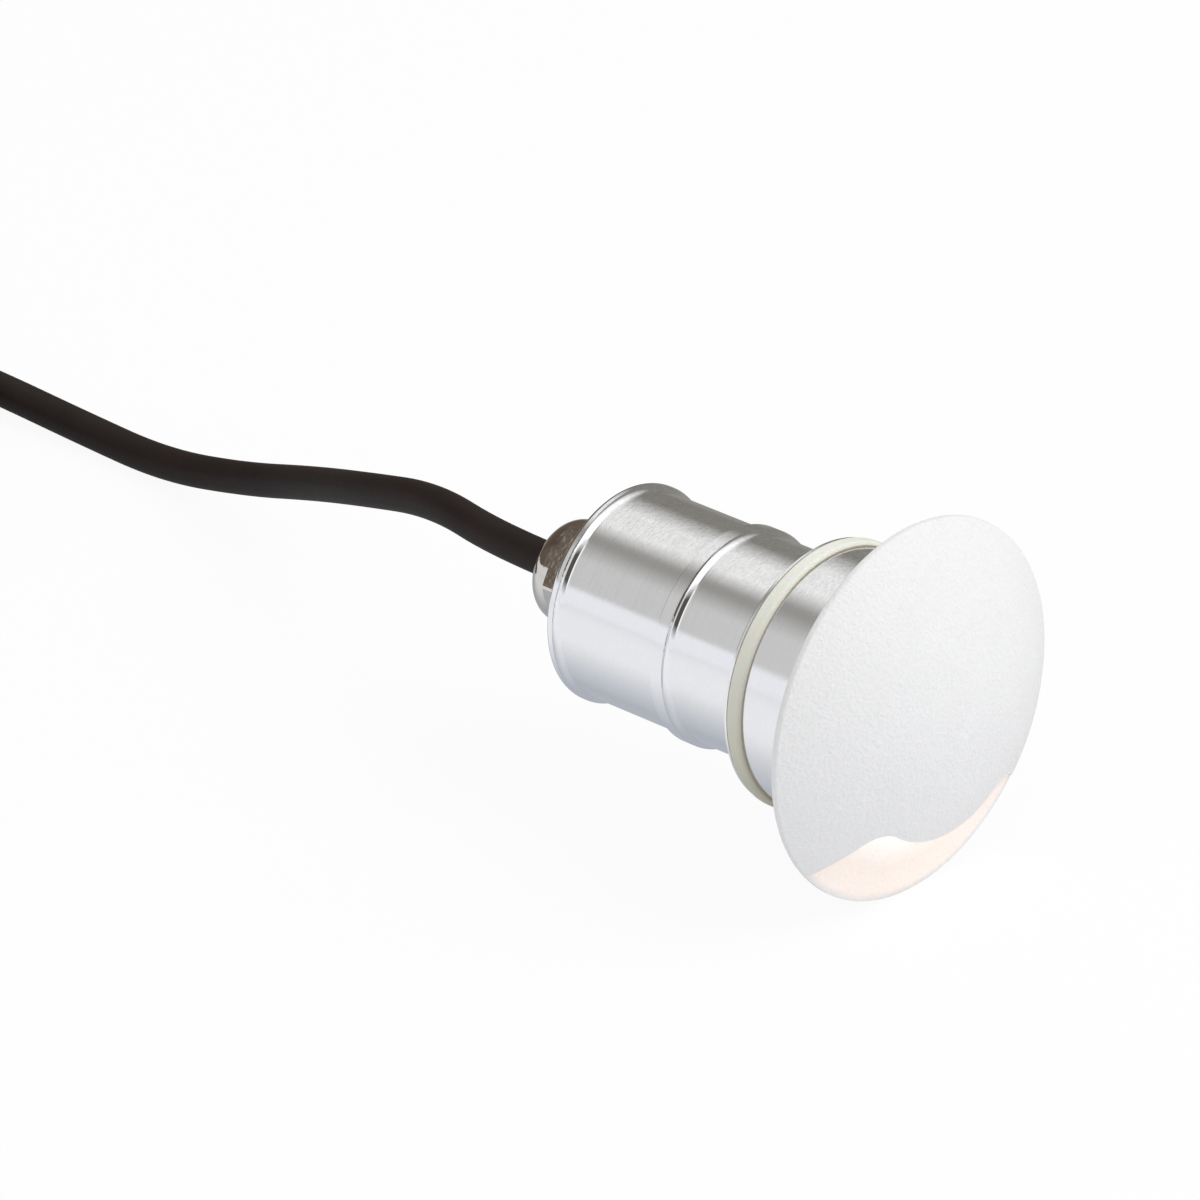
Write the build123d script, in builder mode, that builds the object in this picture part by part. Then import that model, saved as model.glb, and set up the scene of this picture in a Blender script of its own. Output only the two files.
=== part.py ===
"""Recessed wall light: a white domed face with a light scoop, a turned aluminium body, a cable gland and a lead.

The light's axis lies along Y. The face looks towards -Y, the lead leaves towards +Y and +Z is up.
The origin is on the axis in the plane of the wall that the face's flange sits against. Millimetres.
"""
import os
from math import atan2, cos, degrees, hypot, pi, radians, sin, sqrt, tan

from build123d import *

# Face cover
face_radius = 22.5
rim_edge = 0.8
rim_wall_gap = 0.1
rim_round = 0.3
dome_rise = 8.05
cover_wall = 1.2
chamber_inset = 0.6

# Light scoop in the face cover
scoop_lip_radius = 13.8
scoop_apex_drop = 2.0
scoop_half_angle = 54.0
scoop_corner_radius = 3.5
scoop_floor_slope = 12.0
slot_lip_thickness = 1.1
slot_floor_step = 0.05
slot_half_angle = 34.0
diffuser_thickness = 1.4
diffuser_setback = 1.1

# Collar that goes into the wall
flange_radius = 20.0
flange_thickness = 0.8
nose_radius = 10.0
nose_length = 1.8
collar_radius = 15.4
collar_length = 10.6
lamp_bore_radius = 8.2
ring_radius = 16.0
ring_width = 2.0
ring_groove_radius = 13.8
ring_round = 0.5
lip_radius = 15.8
lip_thickness = 0.5
edge_chamfer = 0.2

# Barrels
barrel_radius = 12.5
front_barrel_length = 13.7
rear_barrel_length = 16.1
barrel_bore_radius = 9.3
rear_wall = 3.0
rib_height = 0.6
rib_step = 0.9
rib_cove_rise = 0.3
rib_cove_run = 0.65
mid_rib_land = 1.8
rear_rib_land = 1.0
rear_edge_round = 0.5
seam_chamfer = 0.15
front_spigot_radius = 11.6
rear_spigot_radius = 10.9
rear_spigot_length = 6.0

# Seals
o_ring_section = 1.0
o_ring_setback = 2.0
gasket_thickness = 0.5
gasket_width = 2.4
gasket_gap = 0.4
window_thickness = 1.0
window_ledge = 0.5
window_seal_thickness = 0.3
window_recess = 0.1

# Lamp module
carrier_front = 2.0
carrier_thickness = 4.0
pad_thickness = 0.2
board_radius = 7.6
board_thickness = 1.0
emitter_width = 3.5
emitter_height = 0.6
emitter_corner = 0.3
lens_radius = 1.5
screw_circle_radius = 5.2
screw_head_radius = 1.5
screw_head_height = 1.0
screw_head_round = 0.3
screw_radius = 0.8
screw_length = 4.2
pin_offset = 3.5
pin_radius = 0.4
pin_tail = 2.5
sleeve_radius = 1.0
sleeve_tail = 0.5

# Driver
tray_length = 27.0
tray_front_gap = 3.0
tray_seat_height = 3.5
tray_pocket_width = 10.0
tray_pocket_depth = 3.6
driver_board_width = 15.0
driver_board_length = 26.0
driver_board_thickness = 1.0
inductor_radius = 3.2
inductor_height = 4.4
inductor_flange = 0.8
capacitor_radius = 2.0
capacitor_height = 5.6
capacitor_round = 0.3
capacitor_spacing = 7.5
chip_width = 3.9
chip_height = 1.5
chip_chamfer = 0.25
rectifier_length = 4.9
controller_length = 2.4
inductor_setback = 8.3
controller_setback = 13.5
capacitor_setback = 16.1
rectifier_setback = 20.8
lead_radius = 0.6
lead_bend_radius = 1.8

# Cable gland
gland_thread_radius = 5.0
gland_thread_tail = 1.5
gland_flats = 12.6
gland_washer_thickness = 0.4
gland_hex_length = 2.6
gland_nut_gap = 0.4
gland_neck_length = 3.8
gland_pocket_radius = 3.6
gland_pocket_floor = 0.6
gland_seal_length = 1.9
claw_length = 2.1
claw_taper = 0.7
claw_tip_wall = 0.6
claw_slot_length = 1.4
claw_slots = 6
claw_slot_width = 0.5
nut_turn = 8.3
nut_hex_length = 2.8
nut_shoulder = 0.4
nut_dome_inset = 0.05
nut_dome_length = 3.9
nut_dome_round = 2.6

# Lead
cable_radius = 2.1
core_radius = 0.65
core_spacing = 1.7
core_length = 14.0
ferrule_radius = 0.8
ferrule_length = 8.0
tie_thickness = 0.8
tie_width = 5.0
tie_gap = 0.3

# Clearances
fit_gap = 0.05
thread_gap = 0.05
cable_gap = 0.15
claw_gap = 0.1
flange_gap = 0.15
nose_gap = 0.1

# Places along the axis, from the wall plane
rim_front = -(rim_wall_gap + rim_edge)
dome_apex = rim_front - dome_rise
dome_radius = (face_radius**2 + dome_rise**2) / (2 * dome_rise)
dome_centre = dome_apex + dome_radius
flange_front = -flange_thickness
nose_front = flange_front - nose_length
ring_front = collar_length
ring_rear = ring_front + ring_width
lip_rear = ring_rear + lip_thickness
mid_seam = lip_rear + front_barrel_length
rear_face = mid_seam + rear_barrel_length
inner_rear = rear_face - rear_wall
carrier_rear = carrier_front + carrier_thickness
pad_front = carrier_front - pad_thickness
board_front = pad_front - board_thickness
emitter_front = board_front - emitter_height
window_rear = nose_front + window_recess + window_thickness
window_seat = window_rear + window_seal_thickness
window_radius = lamp_bore_radius + window_ledge
rib_radius = barrel_radius + rib_height
rear_spigot_front = mid_seam - rear_spigot_length

# Places of the gland along the axis
gland_hex_front = rear_face + gland_washer_thickness
gland_hex_rear = gland_hex_front + gland_hex_length
gland_neck_rear = gland_hex_rear + gland_neck_length
gland_pocket_front = gland_hex_rear + gland_pocket_floor
gland_seal_rear = gland_pocket_front + gland_seal_length
claw_front = gland_seal_rear + claw_gap
claw_rear = claw_front + claw_length
nut_front = gland_hex_rear + gland_nut_gap
nut_hex_rear = nut_front + nut_hex_length
gland_tip = nut_hex_rear + nut_dome_length
cable_bore_radius = cable_radius + cable_gap
claw_radius = gland_pocket_radius - claw_gap

# The lead's route: it leaves the gland on the axis, sinks to the floor and runs to its coil
floor_level = -face_radius
cable_floor = floor_level + cable_radius
coil_level = cable_floor + tie_thickness + fit_gap
cable_route = [
    (0, gland_tip, 0),
    (0, 63, 0),
    (2.5, 75.5, 0.2),
    (6, 90.5, -4.5),
    (12, 105.5, -10.6),
    (16.3, 121, -16.6),
    (17.9, 137, cable_floor),
    (18.6, 153, cable_floor),
    (18.4, 168.5, coil_level),
    (18.4, 184, coil_level),
]
bend_share = 0.45

# The lead's coil: in along the lower layer, up in one half turn, out along the upper layer
coil_outer_radius = 31.5
coil_pitch = 4.7
coil_half_turns_in = 6
coil_half_turns_out = 4

os.makedirs("parts", exist_ok=True)


def front_plane(y):
    """A plane across the axis at y, seen from the front: local x is X, local y is Z, and it faces -Y."""
    return Plane.XZ.offset(-y)


def radial_plane(angle):
    """A plane through the axis: local x points outwards at this angle from +X towards +Z, local y is Y."""
    outwards = (cos(radians(angle)), 0, sin(radians(angle)))
    normal = (-sin(radians(angle)), 0, cos(radians(angle)))
    return Plane(origin=(0, 0, 0), x_dir=outwards, z_dir=normal)


def dome_height_at(radius):
    """Where the dome's outer surface lies along the axis at this radius."""
    return dome_centre - sqrt(dome_radius**2 - radius**2)


def scoop_floor_at(radius):
    """Where the scoop's conical floor lies along the axis at this radius."""
    return rim_front - (face_radius - radius) * tan(radians(scoop_floor_slope))


def rib_profile(flank_start, land_end):
    """The outline of a rib: a cove that rises from the barrel, then the rib's land."""
    crest = flank_start + rib_step
    middle = (barrel_radius + rib_cove_rise * rib_height, flank_start + rib_cove_run * rib_step)
    ThreePointArc((barrel_radius, flank_start), middle, (rib_radius, crest))
    Line((rib_radius, crest), (rib_radius, land_end))


# Collar: flange against the wall, threaded nose, barrel socket and the groove for the silicone ring
with BuildPart() as collar:
    with BuildSketch(Plane.XY):
        with BuildLine():
            Polyline(
                (window_radius + fit_gap, nose_front),
                (nose_radius, nose_front),
                (nose_radius, flange_front),
                (flange_radius, flange_front),
                (flange_radius, 0),
                (collar_radius, 0),
                (collar_radius, ring_front),
                (ring_groove_radius, ring_front),
                (ring_groove_radius, ring_rear),
                (lip_radius, ring_rear),
                (lip_radius, lip_rear),
                (front_spigot_radius + fit_gap, lip_rear),
                (front_spigot_radius + fit_gap, carrier_front),
                (lamp_bore_radius, carrier_front),
                (lamp_bore_radius, window_seat),
                (window_radius + fit_gap, window_seat),
                close=True,
            )
        make_face()
    revolve(axis=Axis.Y)
    socket_mouth = collar.edges().filter_by(GeomType.CIRCLE).group_by(Axis.Y)[-1]
    chamfer(socket_mouth, length=edge_chamfer)
collar.part.label = "collar"
export_step(collar.part, "parts/collar.step")

# Silicone ring that grips the hole in the wall
with BuildPart() as wall_seal_ring:
    with BuildSketch(Plane.XY) as ring_section:
        with BuildLine():
            Polyline(
                (ring_groove_radius, ring_front),
                (ring_radius, ring_front),
                (ring_radius, ring_rear),
                (ring_groove_radius, ring_rear),
                close=True,
            )
        make_face()
        fillet(ring_section.vertices().group_by(Axis.X)[-1], radius=ring_round)
    revolve(axis=Axis.Y)
wall_seal_ring.part.label = "wall_seal_ring"
export_step(wall_seal_ring.part, "parts/wall_seal_ring.step")

# Front barrel: threaded spigot, plain barrel and the middle rib
front_groove_start = carrier_rear + o_ring_setback
with BuildPart() as front_barrel:
    with BuildSketch(Plane.XY):
        with BuildLine():
            Polyline(
                (barrel_bore_radius, carrier_rear),
                (front_spigot_radius, carrier_rear),
                (front_spigot_radius, front_groove_start),
                (front_spigot_radius + fit_gap - o_ring_section, front_groove_start),
                (front_spigot_radius + fit_gap - o_ring_section, front_groove_start + o_ring_section),
                (front_spigot_radius, front_groove_start + o_ring_section),
                (front_spigot_radius, lip_rear),
                (barrel_radius, lip_rear),
                (barrel_radius, mid_seam - mid_rib_land - rib_step),
            )
            rib_profile(mid_seam - mid_rib_land - rib_step, mid_seam)
            Polyline(
                (rib_radius, mid_seam),
                (rear_spigot_radius + fit_gap, mid_seam),
                (rear_spigot_radius + fit_gap, rear_spigot_front),
                (barrel_bore_radius, rear_spigot_front),
                (barrel_bore_radius, carrier_rear),
            )
        make_face()
    revolve(axis=Axis.Y)
    seam_rim = front_barrel.edges().filter_by(GeomType.CIRCLE).group_by(Axis.Y)[-1]
    chamfer(seam_rim.sort_by(SortBy.RADIUS)[-1], length=seam_chamfer)
front_barrel.part.label = "front_barrel"
export_step(front_barrel.part, "parts/front_barrel.step")

# Rear barrel: spigot, plain barrel, rear rib and the end wall that takes the gland
rear_groove_start = rear_spigot_front + o_ring_setback
with BuildPart() as rear_barrel:
    with BuildSketch(Plane.XY):
        with BuildLine():
            Polyline(
                (barrel_bore_radius, rear_spigot_front),
                (rear_spigot_radius, rear_spigot_front),
                (rear_spigot_radius, rear_groove_start),
                (rear_spigot_radius + fit_gap - o_ring_section, rear_groove_start),
                (rear_spigot_radius + fit_gap - o_ring_section, rear_groove_start + o_ring_section),
                (rear_spigot_radius, rear_groove_start + o_ring_section),
                (rear_spigot_radius, mid_seam),
                (barrel_radius - seam_chamfer, mid_seam),
                (barrel_radius, mid_seam + seam_chamfer),
                (barrel_radius, rear_face - rear_rib_land - rib_step),
            )
            rib_profile(rear_face - rear_rib_land - rib_step, rear_face)
            Polyline(
                (rib_radius, rear_face),
                (gland_thread_radius + thread_gap, rear_face),
                (gland_thread_radius + thread_gap, inner_rear),
                (barrel_bore_radius, inner_rear),
                (barrel_bore_radius, rear_spigot_front),
            )
        make_face()
    revolve(axis=Axis.Y)
    rear_rim = rear_barrel.edges().filter_by(GeomType.CIRCLE).group_by(Axis.Y)[-1]
    fillet(rear_rim.sort_by(SortBy.RADIUS)[-1], radius=rear_edge_round)
rear_barrel.part.label = "rear_barrel"
export_step(rear_barrel.part, "parts/rear_barrel.step")

# O-rings that seal the two spigots
o_ring_seats = {
    "collar_o_ring": (front_spigot_radius + fit_gap, front_groove_start),
    "barrel_o_ring": (rear_spigot_radius + fit_gap, rear_groove_start),
}
for o_ring_name, (seat_radius, groove_start) in o_ring_seats.items():
    with BuildPart() as o_ring:
        with BuildSketch(Plane.XY):
            with Locations((seat_radius - o_ring_section / 2, groove_start + o_ring_section / 2)):
                Circle(o_ring_section / 2)
        revolve(axis=Axis.Y)
    o_ring.part.label = o_ring_name
    export_step(o_ring.part, f"parts/{o_ring_name}.step")

# Carrier: the aluminium plug that takes the lamp board's heat, clamped between collar and barrel
screw_places = [(-screw_circle_radius, 0), (screw_circle_radius, 0)]
pin_places = [(-pin_offset, pin_offset), (pin_offset, pin_offset)]
screw_depth = screw_length - board_thickness - pad_thickness
with BuildPart() as led_carrier:
    with BuildSketch(front_plane(carrier_rear)):
        Circle(front_spigot_radius)
    extrude(amount=carrier_thickness)
    with BuildSketch(front_plane(carrier_rear)):
        with Locations(*pin_places):
            Circle(sleeve_radius + fit_gap)
    extrude(amount=carrier_thickness, mode=Mode.SUBTRACT)
    with BuildSketch(front_plane(carrier_front + screw_depth)):
        with Locations(*screw_places):
            Circle(screw_radius + thread_gap)
    extrude(amount=screw_depth, mode=Mode.SUBTRACT)
led_carrier.part.label = "led_carrier"
export_step(led_carrier.part, "parts/led_carrier.step")

# Thermal pad under the lamp board
with BuildPart() as thermal_pad:
    with BuildSketch(front_plane(carrier_front)):
        Circle(board_radius)
        with Locations(*screw_places):
            Circle(screw_radius + thread_gap, mode=Mode.SUBTRACT)
        with Locations(*pin_places):
            Circle(sleeve_radius + fit_gap, mode=Mode.SUBTRACT)
    extrude(amount=pad_thickness)
thermal_pad.part.label = "thermal_pad"
export_step(thermal_pad.part, "parts/thermal_pad.step")

# Lamp board: a round metal-backed circuit board
with BuildPart() as led_board:
    with BuildSketch(front_plane(pad_front)):
        Circle(board_radius)
        with Locations(*screw_places):
            Circle(screw_radius + thread_gap, mode=Mode.SUBTRACT)
        with Locations(*pin_places):
            Circle(pin_radius + fit_gap, mode=Mode.SUBTRACT)
    extrude(amount=board_thickness)
led_board.part.label = "led_board"
export_step(led_board.part, "parts/led_board.step")

# Emitter: the ceramic chip carrier and its silicone lens
with BuildPart() as led_emitter:
    with BuildSketch(front_plane(board_front)):
        RectangleRounded(emitter_width, emitter_width, emitter_corner)
    extrude(amount=emitter_height)
led_emitter.part.label = "led_emitter"
export_step(led_emitter.part, "parts/led_emitter.step")

with BuildPart() as led_lens:
    with BuildSketch(Plane.XY):
        with BuildLine():
            Polyline((0, emitter_front - lens_radius), (0, emitter_front), (lens_radius, emitter_front))
            RadiusArc((lens_radius, emitter_front), (0, emitter_front - lens_radius), lens_radius)
        make_face()
    revolve(axis=Axis.Y)
led_lens.part.label = "led_lens"
export_step(led_lens.part, "parts/led_lens.step")

# Screws that hold the lamp board to the carrier
with BuildPart() as board_screws:
    with BuildSketch(front_plane(board_front)):
        with Locations(*screw_places):
            Circle(screw_head_radius)
    extrude(amount=screw_head_height)
    fillet(board_screws.edges().group_by(Axis.Y)[0], radius=screw_head_round)
    with BuildSketch(front_plane(board_front + screw_length)):
        with Locations(*screw_places):
            Circle(screw_radius)
    extrude(amount=screw_length)
board_screws.part.label = "board_screws"
export_step(board_screws.part, "parts/board_screws.step")

# Feed pins that carry the current through the carrier, and the sleeves that insulate them
with BuildPart() as feed_pins:
    with BuildSketch(front_plane(carrier_rear + pin_tail)):
        with Locations(*pin_places):
            Circle(pin_radius)
    extrude(amount=carrier_rear + pin_tail - board_front)
feed_pins.part.label = "feed_pins"
export_step(feed_pins.part, "parts/feed_pins.step")

with BuildPart() as pin_sleeves:
    with BuildSketch(front_plane(carrier_rear + sleeve_tail)):
        with Locations(*pin_places):
            Circle(sleeve_radius)
            Circle(pin_radius + fit_gap, mode=Mode.SUBTRACT)
    extrude(amount=carrier_rear + sleeve_tail - pad_front)
pin_sleeves.part.label = "pin_sleeves"
export_step(pin_sleeves.part, "parts/pin_sleeves.step")

# Window that closes the lamp chamber in the collar's nose, on its seal
with BuildPart() as window:
    with BuildSketch(front_plane(window_rear)):
        Circle(window_radius)
    extrude(amount=window_thickness)
window.part.label = "window"
export_step(window.part, "parts/window.step")

with BuildPart() as window_seal:
    with BuildSketch(front_plane(window_seat)):
        Circle(window_radius)
        Circle(lamp_bore_radius, mode=Mode.SUBTRACT)
    extrude(amount=window_seal_thickness)
window_seal.part.label = "window_seal"
export_step(window_seal.part, "parts/window_seal.step")

# Cover gasket on the collar's flange, round the nose
gasket_inner = nose_radius + gasket_gap
gasket_outer = gasket_inner + gasket_width
gasket_rear = flange_front - fit_gap
gasket_front = gasket_rear - gasket_thickness
with BuildPart() as cover_gasket:
    with BuildSketch(front_plane(gasket_rear)):
        Circle(gasket_outer)
        Circle(gasket_inner, mode=Mode.SUBTRACT)
    extrude(amount=gasket_thickness)
cover_gasket.part.label = "cover_gasket"
export_step(cover_gasket.part, "parts/cover_gasket.step")

# The scoop's plan: the lip's arc about the axis between two straight sides that spread towards the rim
side_x = sin(radians(scoop_half_angle))
side_z = -cos(radians(scoop_half_angle))
side_run = scoop_apex_drop * side_z + sqrt(scoop_lip_radius**2 - (scoop_apex_drop * side_x)**2)
scoop_corner = (side_run * side_x, side_run * side_z - scoop_apex_drop)
side_end = (2 * face_radius * side_x, 2 * face_radius * side_z - scoop_apex_drop)
with BuildPart() as scoop:
    with BuildSketch(front_plane(0)) as scoop_plan:
        with BuildLine():
            ThreePointArc(
                (-scoop_corner[0], scoop_corner[1]),
                (0, -scoop_lip_radius),
                (scoop_corner[0], scoop_corner[1]),
            )
            Polyline(
                (scoop_corner[0], scoop_corner[1]),
                (side_end[0], side_end[1]),
                (-side_end[0], side_end[1]),
                (-scoop_corner[0], scoop_corner[1]),
            )
        make_face()
        fillet(scoop_plan.vertices().group_by(Axis.Z)[-1], radius=scoop_corner_radius)
    extrude(amount=2 * dome_rise)
    with BuildSketch(Plane.XY):
        floor_reach = 2 * face_radius
        with BuildLine():
            Polyline(
                (0, scoop_floor_at(0)),
                (floor_reach, scoop_floor_at(floor_reach)),
                (floor_reach, face_radius),
                (0, face_radius),
                close=True,
            )
        make_face()
    revolve(axis=Axis.Y, mode=Mode.SUBTRACT)

# Face cover: the white dome, hollow behind, with its scoop and the slot that lets the light out under the lip
recess_radius = flange_radius + flange_gap
recess_front = flange_front - fit_gap
socket_radius = nose_radius + thread_gap
socket_front = nose_front - nose_gap
chamber_radius = nose_radius - chamber_inset
chamber_shoulder = dome_height_at(chamber_radius) + cover_wall
chamber_apex = dome_apex + cover_wall
slot_rear = min(scoop_floor_at(scoop_lip_radius) - slot_floor_step, socket_front)
slot_front = dome_height_at(scoop_lip_radius) + slot_lip_thickness


def chamber_outline(radius, rear, gap):
    """Half the section of the light chamber under the dome, drawn in by a gap."""
    top = chamber_apex + gap
    shoulder = chamber_shoulder + gap
    middle_radius = radius / 2
    middle = dome_height_at(middle_radius) + cover_wall + gap
    ThreePointArc((0, top), (middle_radius, middle), (radius, shoulder))
    Polyline((radius, shoulder), (radius, rear), (0, rear), (0, top))


with BuildPart() as face_cover:
    with BuildSketch(Plane.XY):
        with BuildLine():
            half_radius = face_radius / 2
            ThreePointArc(
                (0, dome_apex), (half_radius, dome_height_at(half_radius)), (face_radius, rim_front)
            )
            Polyline(
                (face_radius, rim_front), (face_radius, -rim_wall_gap), (0, -rim_wall_gap), (0, dome_apex)
            )
        make_face()
    revolve(axis=Axis.Y)
    rim_edges = face_cover.edges().filter_by(GeomType.CIRCLE)
    fillet(rim_edges, radius=rim_round)
    with BuildSketch(Plane.XY):
        with BuildLine():
            Polyline(
                (0, 0),
                (recess_radius, 0),
                (recess_radius, recess_front),
                (gasket_outer + fit_gap, recess_front),
                (gasket_outer + fit_gap, gasket_front - fit_gap),
                (gasket_inner - fit_gap, gasket_front - fit_gap),
                (gasket_inner - fit_gap, recess_front),
                (socket_radius, recess_front),
                (socket_radius, socket_front),
                (0, socket_front),
                close=True,
            )
        make_face()
    revolve(axis=Axis.Y, mode=Mode.SUBTRACT)
    with BuildSketch(Plane.XY):
        with BuildLine():
            chamber_outline(chamber_radius, socket_front, 0)
        make_face()
    revolve(axis=Axis.Y, mode=Mode.SUBTRACT)
    add(scoop.part, mode=Mode.SUBTRACT)
    with BuildSketch(radial_plane(-90 + slot_half_angle)):
        with BuildLine():
            Polyline(
                (chamber_radius / 2, slot_rear),
                (scoop_lip_radius + cover_wall, slot_rear),
                (scoop_lip_radius + cover_wall, slot_front),
                (chamber_radius / 2, slot_front),
                close=True,
            )
        make_face()
    revolve(axis=Axis.Y, revolution_arc=2 * slot_half_angle, mode=Mode.SUBTRACT)
face_cover.part.label = "face_cover"
export_step(face_cover.part, "parts/face_cover.step")

# Diffuser: the frosted strip that fills the slot, set back under the lip
diffuser_outer = scoop_lip_radius - diffuser_setback
diffuser_half_angle = slot_half_angle - degrees(fit_gap / diffuser_outer)
with BuildPart() as diffuser:
    with BuildSketch(radial_plane(-90 + diffuser_half_angle)):
        with BuildLine():
            Polyline(
                (diffuser_outer - diffuser_thickness, slot_rear - fit_gap),
                (diffuser_outer, slot_rear - fit_gap),
                (diffuser_outer, slot_front + fit_gap),
                (diffuser_outer - diffuser_thickness, slot_front + fit_gap),
                close=True,
            )
        make_face()
    revolve(axis=Axis.Y, revolution_arc=2 * diffuser_half_angle)
diffuser.part.label = "diffuser"
export_step(diffuser.part, "parts/diffuser.step")

# Reflector: the wedge under the dome that throws the light down into the slot
reflector_radius = chamber_radius - fit_gap
reflector_high = socket_front - nose_gap
reflector_low = slot_front
reflector_tilt = degrees(atan2(reflector_high - reflector_low, 2 * reflector_radius))
reflector_middle = (reflector_high + reflector_low) / 2
with BuildPart() as reflector:
    with BuildSketch(Plane.XY):
        with BuildLine():
            chamber_outline(reflector_radius, reflector_high, fit_gap)
        make_face()
    revolve(axis=Axis.Y)
    mirror_face = Plane(
        origin=(0, reflector_middle, 0),
        x_dir=(1, 0, 0),
        z_dir=(0, -cos(radians(reflector_tilt)), sin(radians(reflector_tilt))),
    )
    split(bisect_by=mirror_face, keep=Keep.TOP)
reflector.part.label = "reflector"
export_step(reflector.part, "parts/reflector.step")

# Driver tray: the plastic cradle that lies in the bottom of the barrels and carries the driver board
tray_front = carrier_rear + tray_front_gap
tray_rear = tray_front + tray_length
tray_radius = barrel_bore_radius - fit_gap
with BuildPart() as driver_tray:
    with BuildSketch(front_plane(tray_rear)):
        Circle(tray_radius)
        with Locations((0, tray_radius - tray_seat_height)):
            Rectangle(2 * tray_radius, 2 * tray_radius, mode=Mode.SUBTRACT)
        with Locations((0, -tray_seat_height)):
            Rectangle(tray_pocket_width, 2 * tray_pocket_depth, mode=Mode.SUBTRACT)
    extrude(amount=tray_length)
driver_tray.part.label = "driver_tray"
export_step(driver_tray.part, "parts/driver_tray.step")

# Driver board on the tray's two rails
driver_rear = tray_rear - (tray_length - driver_board_length) / 2
driver_front = driver_rear - driver_board_length
driver_top = -tray_seat_height + driver_board_thickness
with BuildPart() as driver_board:
    with BuildSketch(front_plane(driver_rear)):
        with Locations((0, driver_top - driver_board_thickness / 2)):
            Rectangle(driver_board_width, driver_board_thickness)
    extrude(amount=driver_board_length)
driver_board.part.label = "driver_board"
export_step(driver_board.part, "parts/driver_board.step")

# Driver components, standing on the board
driver_surface = Plane.XY.offset(driver_top)
inductor_place = (0, driver_front + inductor_setback)
capacitor_places = [
    (-capacitor_spacing / 2, driver_front + capacitor_setback),
    (capacitor_spacing / 2, driver_front + capacitor_setback),
]
chips = {
    "driver_rectifier": (rectifier_length, driver_front + rectifier_setback),
    "driver_controller": (controller_length, driver_front + controller_setback),
}
with BuildPart() as driver_inductor:
    with BuildSketch(driver_surface):
        with Locations(inductor_place):
            Circle(inductor_radius - inductor_flange)
    extrude(amount=inductor_height)
    for flange_height in (0, inductor_height - inductor_flange):
        with BuildSketch(driver_surface.offset(flange_height)):
            with Locations(inductor_place):
                Circle(inductor_radius)
        extrude(amount=inductor_flange)
driver_inductor.part.label = "driver_inductor"
export_step(driver_inductor.part, "parts/driver_inductor.step")

with BuildPart() as driver_capacitors:
    with BuildSketch(driver_surface):
        with Locations(*capacitor_places):
            Circle(capacitor_radius)
    extrude(amount=capacitor_height)
    fillet(driver_capacitors.edges().group_by(Axis.Z)[-1], radius=capacitor_round)
driver_capacitors.part.label = "driver_capacitors"
export_step(driver_capacitors.part, "parts/driver_capacitors.step")

for chip_name, (chip_length, chip_y) in chips.items():
    with BuildPart() as chip:
        with BuildSketch(driver_surface):
            with Locations((0, chip_y)):
                Rectangle(chip_width, chip_length)
        extrude(amount=chip_height)
        chamfer(chip.edges().group_by(Axis.Z)[-1], length=chip_chamfer)
    chip.part.label = chip_name
    export_step(chip.part, f"parts/{chip_name}.step")


def wire(path_points, radius, bend):
    """A round wire along straight runs joined by equal bends."""
    with BuildPart() as wire_part:
        with BuildLine() as wire_path:
            FilletPolyline(*path_points, radius=bend)
        with BuildSketch(Plane(origin=wire_path.line @ 0, z_dir=wire_path.line % 0)):
            Circle(radius)
        sweep()
    return wire_part.part


# Wires from the feed pins to the driver board, and from the lead's cores to the driver board
lamp_wire_y = driver_front + lead_bend_radius
supply_wire_y = driver_rear - lead_bend_radius
jacket_end = inner_rear - gland_thread_tail
core_offset = core_spacing / 2
wire_routes = {
    "lamp_wire_black": (
        (-pin_offset, carrier_rear + pin_tail, pin_offset),
        (-pin_offset, lamp_wire_y, pin_offset),
        (-pin_offset, lamp_wire_y, driver_top),
    ),
    "lamp_wire_red": (
        (pin_offset, carrier_rear + pin_tail, pin_offset),
        (pin_offset, lamp_wire_y, pin_offset),
        (pin_offset, lamp_wire_y, driver_top),
    ),
    "supply_wire_black": (
        (-core_offset, jacket_end, 0),
        (-core_offset, supply_wire_y, 0),
        (-core_offset, supply_wire_y, driver_top),
    ),
    "supply_wire_red": (
        (core_offset, jacket_end, 0),
        (core_offset, supply_wire_y, 0),
        (core_offset, supply_wire_y, driver_top),
    ),
}
for wire_name, wire_points in wire_routes.items():
    lead_wire = wire(wire_points, lead_radius, lead_bend_radius)
    lead_wire.label = wire_name
    export_step(lead_wire, f"parts/{wire_name}.step")

# Gland body: thread into the rear wall, hexagon and the neck that the nut runs on
with BuildPart() as gland_body:
    with BuildSketch(front_plane(gland_hex_rear)):
        RegularPolygon(radius=gland_flats / 2, side_count=6, major_radius=False)
    extrude(amount=gland_hex_length)
    with BuildSketch(front_plane(gland_neck_rear)):
        Circle(gland_thread_radius)
    extrude(amount=gland_neck_rear - jacket_end)
    with BuildSketch(front_plane(gland_neck_rear)):
        Circle(cable_bore_radius)
    extrude(amount=gland_neck_rear - jacket_end, mode=Mode.SUBTRACT)
    with BuildSketch(front_plane(gland_neck_rear)):
        Circle(gland_pocket_radius)
    extrude(amount=gland_neck_rear - gland_pocket_front, mode=Mode.SUBTRACT)
gland_body.part.label = "gland_body"
export_step(gland_body.part, "parts/gland_body.step")

# Washer between the gland and the rear wall
with BuildPart() as gland_washer:
    with BuildSketch(front_plane(gland_hex_front)):
        Circle(gland_flats / 2 - edge_chamfer)
        Circle(gland_thread_radius + thread_gap, mode=Mode.SUBTRACT)
    extrude(amount=gland_washer_thickness)
gland_washer.part.label = "gland_washer"
export_step(gland_washer.part, "parts/gland_washer.step")

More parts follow.
